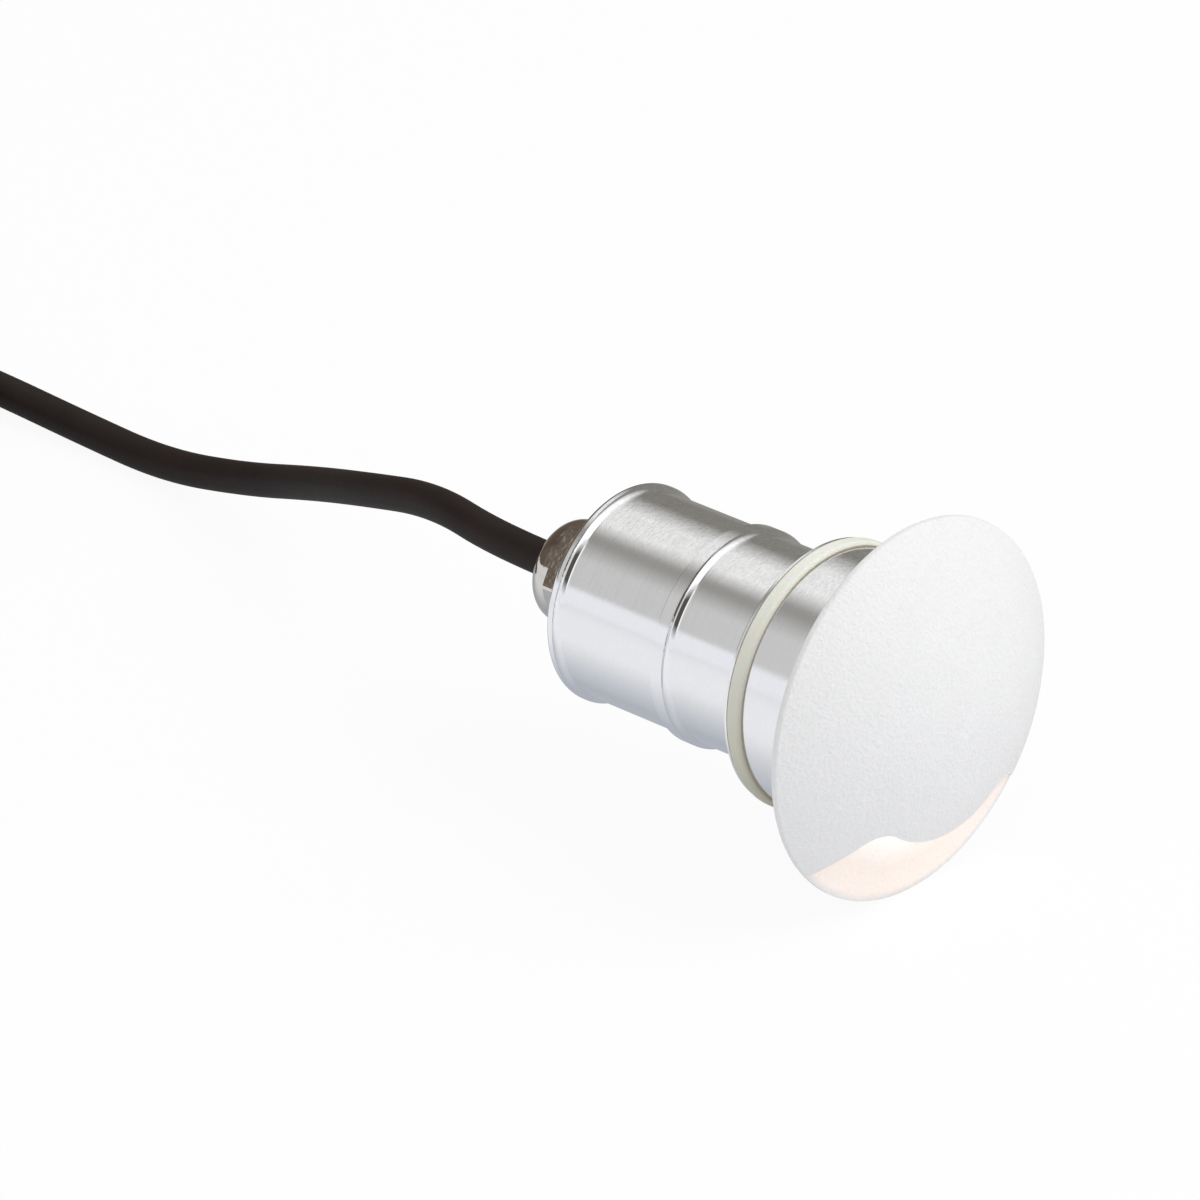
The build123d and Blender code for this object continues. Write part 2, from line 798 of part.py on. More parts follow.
# Rubber seal round the lead, in the gland's pocket
with BuildPart() as gland_seal:
    with BuildSketch(front_plane(gland_seal_rear)):
        Circle(gland_pocket_radius - fit_gap)
        Circle(cable_radius + fit_gap, mode=Mode.SUBTRACT)
    extrude(amount=gland_seal_length)
gland_seal.part.label = "gland_seal"
export_step(gland_seal.part, "parts/gland_seal.step")

# Claw: the slotted plastic ring that the nut squeezes onto the lead
claw_tip_radius = cable_bore_radius + claw_tip_wall
with BuildPart() as gland_claw:
    with BuildSketch(Plane.XY):
        with BuildLine():
            Polyline(
                (cable_bore_radius, claw_front),
                (claw_radius, claw_front),
                (claw_radius, claw_rear - claw_taper),
                (claw_tip_radius, claw_rear),
                (cable_bore_radius, claw_rear),
                close=True,
            )
        make_face()
    revolve(axis=Axis.Y)
    with BuildSketch(front_plane(claw_rear)):
        with PolarLocations(claw_radius, claw_slots):
            Rectangle(2 * (claw_radius - cable_radius), claw_slot_width)
    extrude(amount=claw_slot_length, mode=Mode.SUBTRACT)
gland_claw.part.label = "gland_claw"
export_step(gland_claw.part, "parts/gland_claw.step")

# Gland nut: hexagon with a round dome on a bevelled shoulder, bored for the neck, the claw and the lead
nut_corner_radius = gland_flats / 2 / cos(radians(30)) - edge_chamfer / 2
nut_dome_radius = gland_flats / 2 - nut_dome_inset
nut_bore_rear = max(gland_neck_rear, claw_rear - claw_taper) + claw_gap
with BuildPart() as gland_nut:
    with BuildSketch(front_plane(gland_tip)):
        RegularPolygon(radius=gland_flats / 2, side_count=6, major_radius=False, rotation=-nut_turn)
    extrude(amount=gland_tip - nut_front)
    with BuildSketch(Plane.XY) as nut_section:
        with BuildLine():
            Polyline(
                (0, nut_front),
                (nut_corner_radius - edge_chamfer, nut_front),
                (nut_corner_radius, nut_front + edge_chamfer),
                (nut_corner_radius, nut_hex_rear),
                (nut_dome_radius, nut_hex_rear + nut_shoulder),
                (nut_dome_radius, gland_tip),
                (0, gland_tip),
                close=True,
            )
        make_face()
        dome_edge = nut_section.vertices().group_by(Axis.Y)[-1].sort_by(Axis.X)[-1]
        fillet(dome_edge, radius=nut_dome_round)
    revolve(axis=Axis.Y, mode=Mode.INTERSECT)
    with BuildSketch(Plane.XY):
        with BuildLine():
            Polyline(
                (0, nut_front),
                (gland_thread_radius + thread_gap, nut_front),
                (gland_thread_radius + thread_gap, nut_bore_rear),
                (claw_radius + claw_gap, nut_bore_rear),
                (claw_tip_radius + claw_gap, claw_rear + claw_gap),
                (cable_bore_radius + claw_gap, claw_rear + claw_gap),
                (cable_bore_radius + claw_gap, gland_tip),
                (0, gland_tip),
                close=True,
            )
        make_face()
    revolve(axis=Axis.Y, mode=Mode.SUBTRACT)
gland_nut.part.label = "gland_nut"
export_step(gland_nut.part, "parts/gland_nut.step")

# Lead's jacket inside the housing and the gland
with BuildPart() as cable_entry:
    with BuildSketch(front_plane(gland_tip)):
        Circle(cable_radius)
    extrude(amount=gland_tip - jacket_end)
cable_entry.part.label = "cable_entry"
export_step(cable_entry.part, "parts/cable_entry.step")

# Lead's free stretch: straight runs joined by the largest arcs that they allow
route_points = [Vector(*point) for point in cable_route]
bend_radii = []
for before, corner, after in zip(route_points, route_points[1:], route_points[2:]):
    run_in = corner - before
    run_out = after - corner
    half_turn = radians(run_in.get_angle(run_out)) / 2
    bend_radii.append(bend_share * min(run_in.length, run_out.length) / tan(half_turn))
with BuildPart() as cable:
    with BuildLine() as cable_path:
        FilletPolyline(*route_points, radius=bend_radii)
    with BuildSketch(Plane(origin=cable_path.line @ 0, z_dir=cable_path.line % 0)):
        Circle(cable_radius)
    sweep()
cable.part.label = "cable"
export_step(cable.part, "parts/cable.step")
cable_length = cable_path.wire().length
cable_section = pi * cable_radius**2
print("lead bend radii", [round(radius, 1) for radius in bend_radii])
print("lead volume over section times length", round(cable.part.volume / (cable_section * cable_length), 5))

# Lead's coil: half turns about two centres, a half pitch apart
coil_start = route_points[-1]
straight_end = 2 * cable_radius
turn_line = coil_start.Y + straight_end
coil_top = coil_level + coil_pitch
coil_radii_in = [coil_outer_radius - coil_pitch / 2 * turn for turn in range(coil_half_turns_in)]
climb_radius = coil_outer_radius - coil_pitch / 2 * coil_half_turns_in
coil_radii_out = [climb_radius + coil_pitch / 2 * (turn + 1) for turn in range(coil_half_turns_out)]


def half_turn_at(x, radius, level, heading):
    """A level half turn that starts at x on the turn line; heading is 1 away from the light, -1 towards it."""
    end_x = x - 2 * heading * radius
    centre_x = (x + end_x) / 2
    ThreePointArc(
        (x, turn_line, level), (centre_x, turn_line + heading * radius, level), (end_x, turn_line, level)
    )
    return end_x


with BuildPart() as cable_coil:
    with BuildLine() as coil_path:
        Line(coil_start, (coil_start.X, turn_line, coil_level))
        turn_x = coil_start.X
        heading = 1
        for turn_radius in coil_radii_in:
            turn_x = half_turn_at(turn_x, turn_radius, coil_level, heading)
            heading = -heading
        climb_end_x = turn_x - 2 * heading * climb_radius
        climb_half = hypot(climb_radius, coil_pitch / 2)
        climb_start = Vector(turn_x, turn_line, coil_level)
        climb_end = Vector(climb_end_x, turn_line, coil_top)
        climb_middle = (climb_start + climb_end) * 0.5 + Vector(0, heading * climb_half, 0)
        climb = TangentArc(climb_start, climb_middle, tangent=(0, heading, 0))
        TangentArc(climb_middle, climb_end, tangent=climb % 1)
        turn_x = climb_end_x
        heading = -heading
        for turn_radius in coil_radii_out:
            turn_x = half_turn_at(turn_x, turn_radius, coil_top, heading)
            heading = -heading
        coil_end = Vector(turn_x, turn_line + heading * straight_end, coil_top)
        Line((turn_x, turn_line, coil_top), coil_end)
    with BuildSketch(Plane(origin=coil_path.line @ 0, z_dir=coil_path.line % 0)):
        Circle(cable_radius)
    sweep()
cable_coil.part.label = "cable_coil"
export_step(cable_coil.part, "parts/cable_coil.step")

# The coil's least gap to itself, measured on points a little apart along its middle line
coil_wire = coil_path.wire()
coil_length = coil_wire.length
gap_step = cable_radius
gap_count = int(coil_length / gap_step)
coil_points = [coil_wire @ (index / gap_count) for index in range(gap_count + 1)]
shortest_turn = int(pi * climb_radius / gap_step)
least_apart = min(
    (coil_points[later] - coil_points[earlier]).length
    for earlier in range(gap_count + 1)
    for later in range(earlier + shortest_turn, gap_count + 1)
)
print("coil gap to itself", round(least_apart - 2 * cable_radius, 2))
print("coil volume over section times length", round(cable_coil.part.volume / (cable_section * coil_length), 5))
print("lead length", round(cable_length + coil_length + gland_tip - jacket_end + core_length, 1))

# Tie round the coil's turns, on the side towards the light, drawn close to three turns below and two above
tie_x = coil_start.X - coil_outer_radius
tie_reach = (coil_pitch + tie_width) / 2
tie_inner = sqrt(coil_radii_in[-1]**2 - tie_reach**2) - cable_radius - tie_gap
tie_outer_low = coil_radii_in[1] + cable_radius + tie_gap
tie_outer_high = coil_radii_in[3] + cable_radius + tie_gap
tie_bottom = coil_level - cable_radius - fit_gap
tie_shoulder = coil_level + cable_radius
tie_top = coil_top + cable_radius + tie_gap
with BuildPart() as coil_tie:
    with BuildSketch(Plane.YZ.offset(tie_x - tie_width / 2)):
        with BuildLine() as bundle:
            Polyline(
                (turn_line - tie_inner, tie_bottom),
                (turn_line - tie_outer_low, tie_bottom),
                (turn_line - tie_outer_low, tie_shoulder),
                (turn_line - tie_outer_high, tie_top),
                (turn_line - tie_inner, tie_top),
                close=True,
            )
        make_face()
        offset(amount=tie_thickness)
        make_face(bundle.edges(), mode=Mode.SUBTRACT)
    extrude(amount=tie_width)
coil_tie.part.label = "coil_tie"
export_step(coil_tie.part, "parts/coil_tie.step")

# Stripped end of the lead: two cores, each crimped into a ferrule
for core_name, core_side in (("core_black", -1), ("core_red", 1)):
    core_x = coil_end.X + core_side * core_offset
    core_base = Plane(origin=(core_x, coil_end.Y, coil_top), x_dir=(1, 0, 0), z_dir=(0, heading, 0))
    with BuildPart() as core:
        with BuildSketch(core_base):
            Circle(core_radius)
        extrude(amount=core_length)
    core.part.label = core_name
    export_step(core.part, f"parts/{core_name}.step")

with BuildPart() as ferrules:
    for core_side in (-1, 1):
        ferrule_base = Plane(
            origin=(coil_end.X + core_side * core_offset, coil_end.Y + heading * core_length, coil_top),
            x_dir=(1, 0, 0),
            z_dir=(0, heading, 0),
        )
        with BuildSketch(ferrule_base):
            Circle(ferrule_radius)
        extrude(amount=ferrule_length)
ferrules.part.label = "ferrules"
export_step(ferrules.part, "parts/ferrules.step")
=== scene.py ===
"""Looks of a recessed wall light: its finishes, its loose lead and the studio that it is seen in.

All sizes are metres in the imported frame. The light's axis lies along Y, the face looks towards -Y
and +Z is up.
"""
from math import cos, pi, radians, sin

import bmesh
import bpy
from mathutils import Matrix, Vector


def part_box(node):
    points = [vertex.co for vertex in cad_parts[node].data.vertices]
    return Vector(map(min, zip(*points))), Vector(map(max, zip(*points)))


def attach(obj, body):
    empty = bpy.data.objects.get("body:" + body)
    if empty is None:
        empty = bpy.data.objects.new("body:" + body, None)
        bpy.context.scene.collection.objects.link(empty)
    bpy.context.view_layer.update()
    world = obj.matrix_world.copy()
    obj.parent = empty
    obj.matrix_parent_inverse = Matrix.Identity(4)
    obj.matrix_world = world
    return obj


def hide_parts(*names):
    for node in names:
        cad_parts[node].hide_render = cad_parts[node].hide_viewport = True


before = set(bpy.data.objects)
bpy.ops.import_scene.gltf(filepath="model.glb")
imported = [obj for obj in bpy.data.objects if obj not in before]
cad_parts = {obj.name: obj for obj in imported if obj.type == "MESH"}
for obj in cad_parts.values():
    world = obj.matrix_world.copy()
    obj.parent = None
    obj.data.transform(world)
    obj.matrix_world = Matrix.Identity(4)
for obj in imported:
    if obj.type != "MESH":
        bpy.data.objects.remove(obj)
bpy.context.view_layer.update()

bl_info = {
    "name": "Recessed wall light",
    "version": (1, 0, 0),
    "blender": (4, 5, 0),
    "location": "View3D > Sidebar > Recessed light",
    "description": "Dresses a recessed wall light and sets it in a white studio",
    "category": "Object",
}

MILLIMETRE = 0.001

# The face: its dome, and where the painted lamp light on its scoop starts, is full and runs out
FACE_LOW, FACE_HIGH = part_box("face_cover")
FACE_RADIUS = FACE_HIGH.x
RIM_EDGE = 0.8 * MILLIMETRE
RIM_FRONT = FACE_HIGH.y - RIM_EDGE
DOME_RISE = RIM_FRONT - FACE_LOW.y
DOME_RADIUS = (FACE_RADIUS**2 + DOME_RISE**2) / (2 * DOME_RISE)
DOME_CENTRE = FACE_LOW.y + DOME_RADIUS
LIP_RADIUS = 13.8 * MILLIMETRE
LAMP_REACH = 0.6 * LIP_RADIUS
SCOOP_SHALLOW = 0.05 * MILLIMETRE
SCOOP_DEEP = 0.6 * MILLIMETRE
SCOOP_PAINTED_LIGHT_REACH = 4.5 * MILLIMETRE
RIM_MARGIN = 0.1 * MILLIMETRE
LOOKS_BACK = 0.3

# The silicone ring: its foot and top, between which its painted shade runs, and the edges that meet the
# metal, where painted shade lines lie
RING_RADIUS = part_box("wall_seal_ring")[1].x
RING_FOOT = -0.8 * RING_RADIUS
RING_TOP = 0.9 * RING_RADIUS
RING_EDGE = RING_RADIUS - 0.5 * MILLIMETRE
RING_SIDE = RING_RADIUS - 0.35 * MILLIMETRE

# The turned metal's skin: tool marks that lean to the front, fine lines, and flecks on its upper side
TOOL_LEAN = 0.052
LINE_SCALE = 40000.0
LINE_DEPTH = 0.0012 * MILLIMETRE
FLECK_STRETCH = 0.7
FLECK_DEPTH = 0.011 * MILLIMETRE
FLECKS_START = 0.82
FLECKS_FULL = 0.93
PLAIN_TONE = 0.15
METAL_ROUGHNESS = 0.08

# The ribs' coves, by how far their surface leans along the axis, and the flat ends
COVE_START = 0.05
COVE_FULL = 0.2
COVE_ROUGHNESS = 0.04
END_LEAN = 0.95

# Moulded surfaces: how far their roughness varies, and their patches against the grain of their skin
SKIN_SPREAD = 0.12
PATCH_SIZE = 12

# How fine and coarse noise are blended, and the range that the blend is spread from
FINE_SHARE = 0.7
BLEND_LOW = 0.3
BLEND_HIGH = 0.7

# The lead's route from the gland to its coil, and the coil's half turns
GLAND_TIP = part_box("gland_nut")[1].y
LEAD_ON_FLOOR = -0.0204
LEAD_ON_TIE = -0.01955
LEAD_ROUTE = (
    (0.0, GLAND_TIP, 0.0),
    (0.0, 0.063, 0.0),
    (0.0025, 0.0755, 0.0002),
    (0.006, 0.0905, -0.0045),
    (0.012, 0.1055, -0.0106),
    (0.0163, 0.121, -0.0166),
    (0.0179, 0.137, LEAD_ON_FLOOR),
    (0.0186, 0.153, LEAD_ON_FLOOR),
    (0.0184, 0.1685, LEAD_ON_TIE),
    (0.0184, 0.184, LEAD_ON_TIE),
)
HALF_TURNS_IN = 6
HALF_TURNS_OUT = 4
HALF_TURN_POINTS = 8

# The coil's tie: a band with a slope at one corner, a head on its top run and a cut tail
TIE_LOW, TIE_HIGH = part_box("coil_tie")
TIE_MIDDLE = (TIE_LOW.x + TIE_HIGH.x) / 2
TIE_SLOPE_START = -17.29 * MILLIMETRE
TIE_SLOPE_REACH = 4.93 * MILLIMETRE
TIE_EDGE_SHARE = 0.3
TIE_HEAD_LENGTH = 5.2 * MILLIMETRE
TIE_HEAD_HEIGHT = 4.2 * MILLIMETRE
TIE_HEAD_WIDENING = 1.5
TIE_TAIL_LENGTH = 9.0 * MILLIMETRE
TIE_TAIL_RISE = 1.0 * MILLIMETRE

# The thread on the gland's neck, which shows when the nut is backed off
THREAD_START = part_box("gland_nut")[0].y
THREAD_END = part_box("gland_body")[1].y - 0.5 * MILLIMETRE

# Clean-up of the pieces that are grown here
WELD = 0.001 * MILLIMETRE
SMOOTH_ANGLE = radians(35)

# Colours of masks and of plain white light
NO_LIGHT = (0.0, 0.0, 0.0, 1.0)
PLAIN_WHITE = (1.0, 1.0, 1.0, 1.0)


class Value:
    """One output socket of a node tree. Arithmetic on it adds Math nodes."""

    def __init__(self, graph, node, output):
        self.graph = graph
        self.node = node
        self.socket = node.outputs[output]

    def out(self, output):
        """Another output of the same node."""
        return Value(self.graph, self.node, output)

    def __add__(self, other):
        return self.graph.math("ADD", self, other)

    def __radd__(self, other):
        return self.graph.math("ADD", other, self)

    def __sub__(self, other):
        return self.graph.math("SUBTRACT", self, other)

    def __rsub__(self, other):
        return self.graph.math("SUBTRACT", other, self)

    def __mul__(self, other):
        return self.graph.math("MULTIPLY", self, other)

    def __rmul__(self, other):
        return self.graph.math("MULTIPLY", other, self)

    def __truediv__(self, other):
        return self.graph.math("DIVIDE", self, other)

    def __rtruediv__(self, other):
        return self.graph.math("DIVIDE", other, self)

    def __lt__(self, other):
        return self.graph.math("LESS_THAN", self, other)

    def __gt__(self, other):
        return self.graph.math("GREATER_THAN", self, other)


class Graph:
    """A node tree that is being built."""

    def __init__(self, tree):
        self.tree = tree
        tree.nodes.clear()

    def add(self, kind, settings=None, sockets=None, output=0):
        """Adds one node: its settings first, then the values or links of its sockets."""
        node = self.tree.nodes.new(kind)
        for name, setting in (settings or {}).items():
            if name == "stops":
                self.set_stops(node.color_ramp, setting)
            else:
                setattr(node, name, setting)
        for name, value in (sockets or {}).items():
            parts = value if isinstance(value, list) else [value]
            for part in parts:
                if isinstance(part, Value):
                    self.tree.links.new(part.socket, node.inputs[name])
                else:
                    node.inputs[name].default_value = part
        return Value(self, node, output) if node.outputs else None

    @staticmethod
    def set_stops(ramp, stops):
        while len(ramp.elements) < len(stops):
            ramp.elements.new(1.0)
        for element, (place, colour) in zip(ramp.elements, stops):
            element.position = place
            element.color = rgba(colour)

    def math(self, operation, *inputs):
        return self.add("ShaderNodeMath", {"operation": operation}, dict(enumerate(inputs)))

    def limit(self, value, low, high):
        """0 up to low, 1 from high, and straight between them."""
        sockets = {"Value": value, "From Min": low, "From Max": high}
        return self.add("ShaderNodeMapRange", {"clamp": True}, sockets)

    def mix(self, factor, first, second):
        """A colour between two colours."""
        sockets = {0: factor, 6: first, 7: second}
        return self.add("ShaderNodeMix", {"data_type": "RGBA"}, sockets, output=2)

    def place(self):
        """Object coordinates, which are the frame's own."""
        return self.add("ShaderNodeTexCoord", output="Object")

    def normal(self):
        """The direction that the surface faces."""
        return self.add("ShaderNodeNewGeometry", output="Normal")

    def axes(self, vector):
        split = self.add("ShaderNodeSeparateXYZ", sockets={"Vector": vector})
        return split, split.out("Y"), split.out("Z")

    def from_axis(self, x, z):
        """The distance from the light's axis."""
        return self.math("SQRT", x * x + z * z)

    def noise(self, vector, scale, detail=2.0, roughness=0.5):
        sockets = {"Vector": vector, "Scale": scale, "Detail": detail, "Roughness": roughness}
        return self.add("ShaderNodeTexNoise", sockets=sockets)

    def line_noise(self, along, scale):
        """Noise that changes along one line only."""
        sockets = {"W": along, "Scale": scale, "Detail": 0.0}
        return self.add("ShaderNodeTexNoise", {"noise_dimensions": "1D"}, sockets)

    def blend(self, fine, coarse):
        """Fine and coarse noise together, spread over the whole range."""
        return self.limit(fine * FINE_SHARE + coarse * (1.0 - FINE_SHARE), BLEND_LOW, BLEND_HIGH)

    def bump(self, height, depth):
        sockets = {"Strength": 1.0, "Distance": depth, "Height": height}
        return self.add("ShaderNodeBump", sockets=sockets)

    def surface(self, **sockets):
        """A Principled surface on the material's output; a socket's name has _ for a blank."""
        named = {name.replace("_", " "): value for name, value in sockets.items()}
        shader = self.add("ShaderNodeBsdfPrincipled", sockets=named)
        self.add("ShaderNodeOutputMaterial", sockets={"Surface": shader})


def rgba(colour):
    return (*colour, 1.0)


def shade(colour, share):
    """A colour made darker or lighter by a share."""
    return rgba(min(1.0, channel * share) for channel in colour)


def finish(name, build):
    """The material of this finish, built once. Its name keeps clear of the frame's own materials."""
    full_name = f"{name}_finish"
    material = bpy.data.materials.get(full_name)
    if material is None:
        material = bpy.data.materials.new(full_name)
        material.use_nodes = True
        build(Graph(material.node_tree))
    return material


def dress(material, *nodes):
    """Gives CAD nodes a finish."""
    for node in nodes:
        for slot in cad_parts[node].material_slots:
            slot.material = material


def options(context):
    return context.scene.recessed_light


def grow(context, name, sizes, material, build, base=None):
    """A plain mesh piece, made by a Geometry Nodes tree from named sizes and, if given, a base mesh."""
    tree = bpy.data.node_groups.new(name, "GeometryNodeTree")
    graph = Graph(tree)
    tree.interface.new_socket("Base", in_out="INPUT", socket_type="NodeSocketGeometry")
    tree.interface.new_socket("Piece", in_out="OUTPUT", socket_type="NodeSocketGeometry")
    inputs = {}
    for size in sizes:
        socket = tree.interface.new_socket(size, in_out="INPUT", socket_type="NodeSocketFloat")
        inputs[size] = socket.identifier
    shape = build(graph, graph.add("NodeGroupInput"))
    real = graph.add("GeometryNodeRealizeInstances", sockets={"Geometry": shape})
    dressed = graph.add("GeometryNodeSetMaterial", sockets={"Geometry": real, "Material": material})
    graph.add("NodeGroupOutput", sockets={"Piece": dressed})
    seed = bpy.data.objects.new(f"{name}_seed", base or bpy.data.meshes.new(name))
    context.scene.collection.objects.link(seed)
    modifier = seed.modifiers.new(name, "NODES")
    modifier.node_group = tree
    for size, identifier in inputs.items():
        modifier[identifier] = sizes[size]
    mesh = bpy.data.meshes.new_from_object(seed.evaluated_get(context.evaluated_depsgraph_get()))
    bpy.data.objects.remove(seed)
    cleaned = bmesh.new()
    cleaned.from_mesh(mesh)
    bmesh.ops.remove_doubles(cleaned, verts=cleaned.verts, dist=WELD)
    bmesh.ops.recalc_face_normals(cleaned, faces=cleaned.faces)
    cleaned.to_mesh(mesh)
    cleaned.free()
    mesh.shade_smooth()
    mesh.set_sharp_from_angle(angle=SMOOTH_ANGLE)
    piece = bpy.data.objects.new(name, mesh)
    context.scene.collection.objects.link(piece)
    return piece


# Finishes


def powder_coat_with_painted_light(finishes):
    """White powder coat with a fine grain; the scoop's walls and floor glow with painted lamp light."""

    def build(graph):
        point = graph.place()
        x, y, z = graph.axes(point)
        radius = graph.from_axis(x, z)
        inside_dome = graph.math("MAXIMUM", DOME_RADIUS**2 - radius * radius, 0.0)
        dome = DOME_CENTRE - graph.math("SQRT", inside_dome)
        _, facing, _ = graph.axes(graph.normal())
        # Painted lamp light: the scoop's walls and floor glow by emission, paler at the lip and warmer
        # towards the rim
        in_scoop = graph.limit(y - dome, SCOOP_SHALLOW, SCOOP_DEEP)
        in_scoop = in_scoop * (radius < FACE_RADIUS - RIM_MARGIN) * (z < 0.0)
        in_scoop = in_scoop * (facing < LOOKS_BACK)
        outwards = graph.limit(radius, LIP_RADIUS, LIP_RADIUS + SCOOP_PAINTED_LIGHT_REACH)
        painted_light_and_shade = graph.mix(outwards, rgba(finishes.painted_light_near), rgba(finishes.painted_light_far))
        grain = graph.noise(point, scale=2300.0, roughness=0.55)
        blotch = graph.noise(point, scale=160.0)
        tone = graph.blend(grain, blotch)
        graph.surface(
            Base_Color=graph.mix(tone, shade(finishes.paint, share=0.945), rgba(finishes.paint)),
            Roughness=0.5 + 0.2 * grain,
            Normal=graph.bump(grain, depth=0.14 * MILLIMETRE),
            Emission_Color=graph.mix(in_scoop, NO_LIGHT, painted_light_and_shade),
            Emission_Strength=finishes.scoop_painted_light,
        )

    return finish("powder_coat_with_painted_light", build)


def turned_aluminium(finishes):
    """Aluminium with fine tool lines round its axis, flecks on its upper side and polished coves."""

    def build(graph):
        point = graph.place()
        x, y, z = graph.axes(point)
        radius = graph.from_axis(x, z)
        _, lean, _ = graph.axes(graph.normal())
        lean = graph.math("ABSOLUTE", lean)
        along = y + radius * (lean > END_LEAN)
        spread = {"X": x * FLECK_STRETCH, "Y": along, "Z": z * FLECK_STRETCH}
        across = graph.add("ShaderNodeCombineXYZ", sockets=spread)
        lines = graph.line_noise(along, scale=LINE_SCALE)
        flecks = graph.noise(across, scale=2600.0)
        patches = graph.noise(across, scale=700.0)
        in_cove = graph.limit(lean, COVE_START, COVE_FULL) * (lean < END_LEAN)
        upper = graph.limit(z / radius, FLECKS_START, FLECKS_FULL)
        tone = graph.blend(flecks, patches) * (PLAIN_TONE + (1.0 - PLAIN_TONE) * upper)
        skin = (LINE_DEPTH * lines + FLECK_DEPTH * flecks * upper) * (1.0 - in_cove)
        graph.surface(
            Base_Color=graph.mix(tone, rgba(finishes.metal), shade(finishes.metal, share=0.8)),
            Metallic=1.0,
            Roughness=METAL_ROUGHNESS - (METAL_ROUGHNESS - COVE_ROUGHNESS) * in_cove,
            Normal=graph.bump(TOOL_LEAN * y + skin, depth=1.0),
        )

    return finish("turned_aluminium", build)


def silicone(finishes):
    """Milky silicone, a little cloudy, with painted shade that makes it darker and yellower towards its
    foot and brown painted shade lines beside the metal.
    """

    def build(graph):
        point = graph.place()
        x, _, z = graph.axes(point)
        cloud = graph.noise(point, scale=500.0, detail=3.0)
        # Painted shade: the ring turns darker and yellower from its top down to its foot
        height = graph.limit(z + cloud * MILLIMETRE, RING_FOOT, RING_TOP)
        milk_with_painted_shade = graph.mix(height, rgba(finishes.silicone_foot_shade), rgba(finishes.silicone))
        # Painted shade: brown lines in the gaps where the ring meets the metal
        clear_of_metal = graph.limit(graph.from_axis(x, z), RING_EDGE, RING_SIDE)
        graph.surface(
            Base_Color=graph.mix(clear_of_metal, rgba(finishes.silicone_edge_shade), milk_with_painted_shade),
            Roughness=0.28 + 0.14 * cloud,
            Specular_IOR_Level=0.3,
            Subsurface_Weight=0.3,
            Subsurface_Scale=1.0 * MILLIMETRE,
            Normal=graph.bump(graph.noise(point, scale=1500.0), depth=0.02 * MILLIMETRE),
        )

    return finish("clear_silicone", build)


def nickel(finishes):
    """Bright nickel plate with faint clouding."""

    def build(graph):
        point = graph.place()
        cloud = graph.noise(point, scale=700.0, detail=3.0)
        ripple = graph.noise(point, scale=1500.0, detail=1.0)
        graph.surface(
            Base_Color=graph.mix(cloud, shade(finishes.nickel, share=0.86), rgba(finishes.nickel)),
            Metallic=1.0,
            Roughness=0.05 + 0.08 * cloud,
            Normal=graph.bump(ripple, depth=0.01 * MILLIMETRE),
        )

    return finish("nickel_plate", build)


def jacket(finishes):
    """Extruded rubber jacket: matte, with a fine skin."""

    def build(graph):
        point = graph.place()
        skin = graph.noise(point, scale=2200.0, detail=4.0, roughness=0.6)
        bloom = graph.noise(point, scale=120.0)
        dull = shade(finishes.jacket, share=0.75)
        dusty = shade(finishes.jacket, share=1.25)
        graph.surface(
            Base_Color=graph.mix(bloom, dull, dusty),
            Roughness=0.42 + 0.16 * skin,
            Specular_IOR_Level=0.14,
            Normal=graph.bump(skin, depth=0.02 * MILLIMETRE),
        )

    return finish("cable_jacket", build)


def opal(finishes):
    """The frosted strip that the lamp lights from behind, brightest at its middle."""

    def build(graph):
        point = graph.place()
        x, _, _ = graph.axes(point)
        away = graph.limit(graph.math("ABSOLUTE", x), 0.0, LAMP_REACH)
        frost = graph.noise(point, scale=1800.0)
        graph.surface(
            Base_Color=graph.mix(frost, (0.9, 0.87, 0.8, 1.0), (0.95, 0.93, 0.88, 1.0)),
            Roughness=0.45 + 0.1 * frost,
            Emission_Color=graph.mix(away, rgba(finishes.lamp), shade(finishes.lamp, share=0.6)),
            Emission_Strength=finishes.lamp_strength,
        )

    return finish("opal_diffuser", build)


def moulded(name, colour, roughness=0.5, scale=1500.0, depth=0.01, metallic=0.0):
    """A plain moulded, cast or plated surface with a fine skin, whose depth is in millimetres."""

    def build(graph):
        point = graph.place()
        skin = graph.noise(point, scale, detail=3.0)
        patch = graph.noise(point, scale / PATCH_SIZE)
        graph.surface(
            Base_Color=graph.mix(patch, shade(colour, share=0.82), shade(colour, share=1.15)),
            Metallic=metallic,
            Roughness=roughness - SKIN_SPREAD / 2 + SKIN_SPREAD * skin,
            Normal=graph.bump(skin, depth * MILLIMETRE),
        )

    return finish(name, build)


def black_plastic():
    return moulded("black_plastic", (0.03, 0.03, 0.03))


def clear_glass():
    """Clear glass with a faint tint."""

    def build(graph):
        haze = graph.noise(graph.place(), scale=300.0)
        graph.surface(
            Base_Color=graph.mix(haze, (0.93, 0.97, 0.96, 1.0), (0.97, 0.99, 0.99, 1.0)),
            Roughness=0.02 + 0.03 * haze,
            Transmission_Weight=0.9,
            IOR=1.5,
        )

    return finish("clear_glass", build)


# Settings


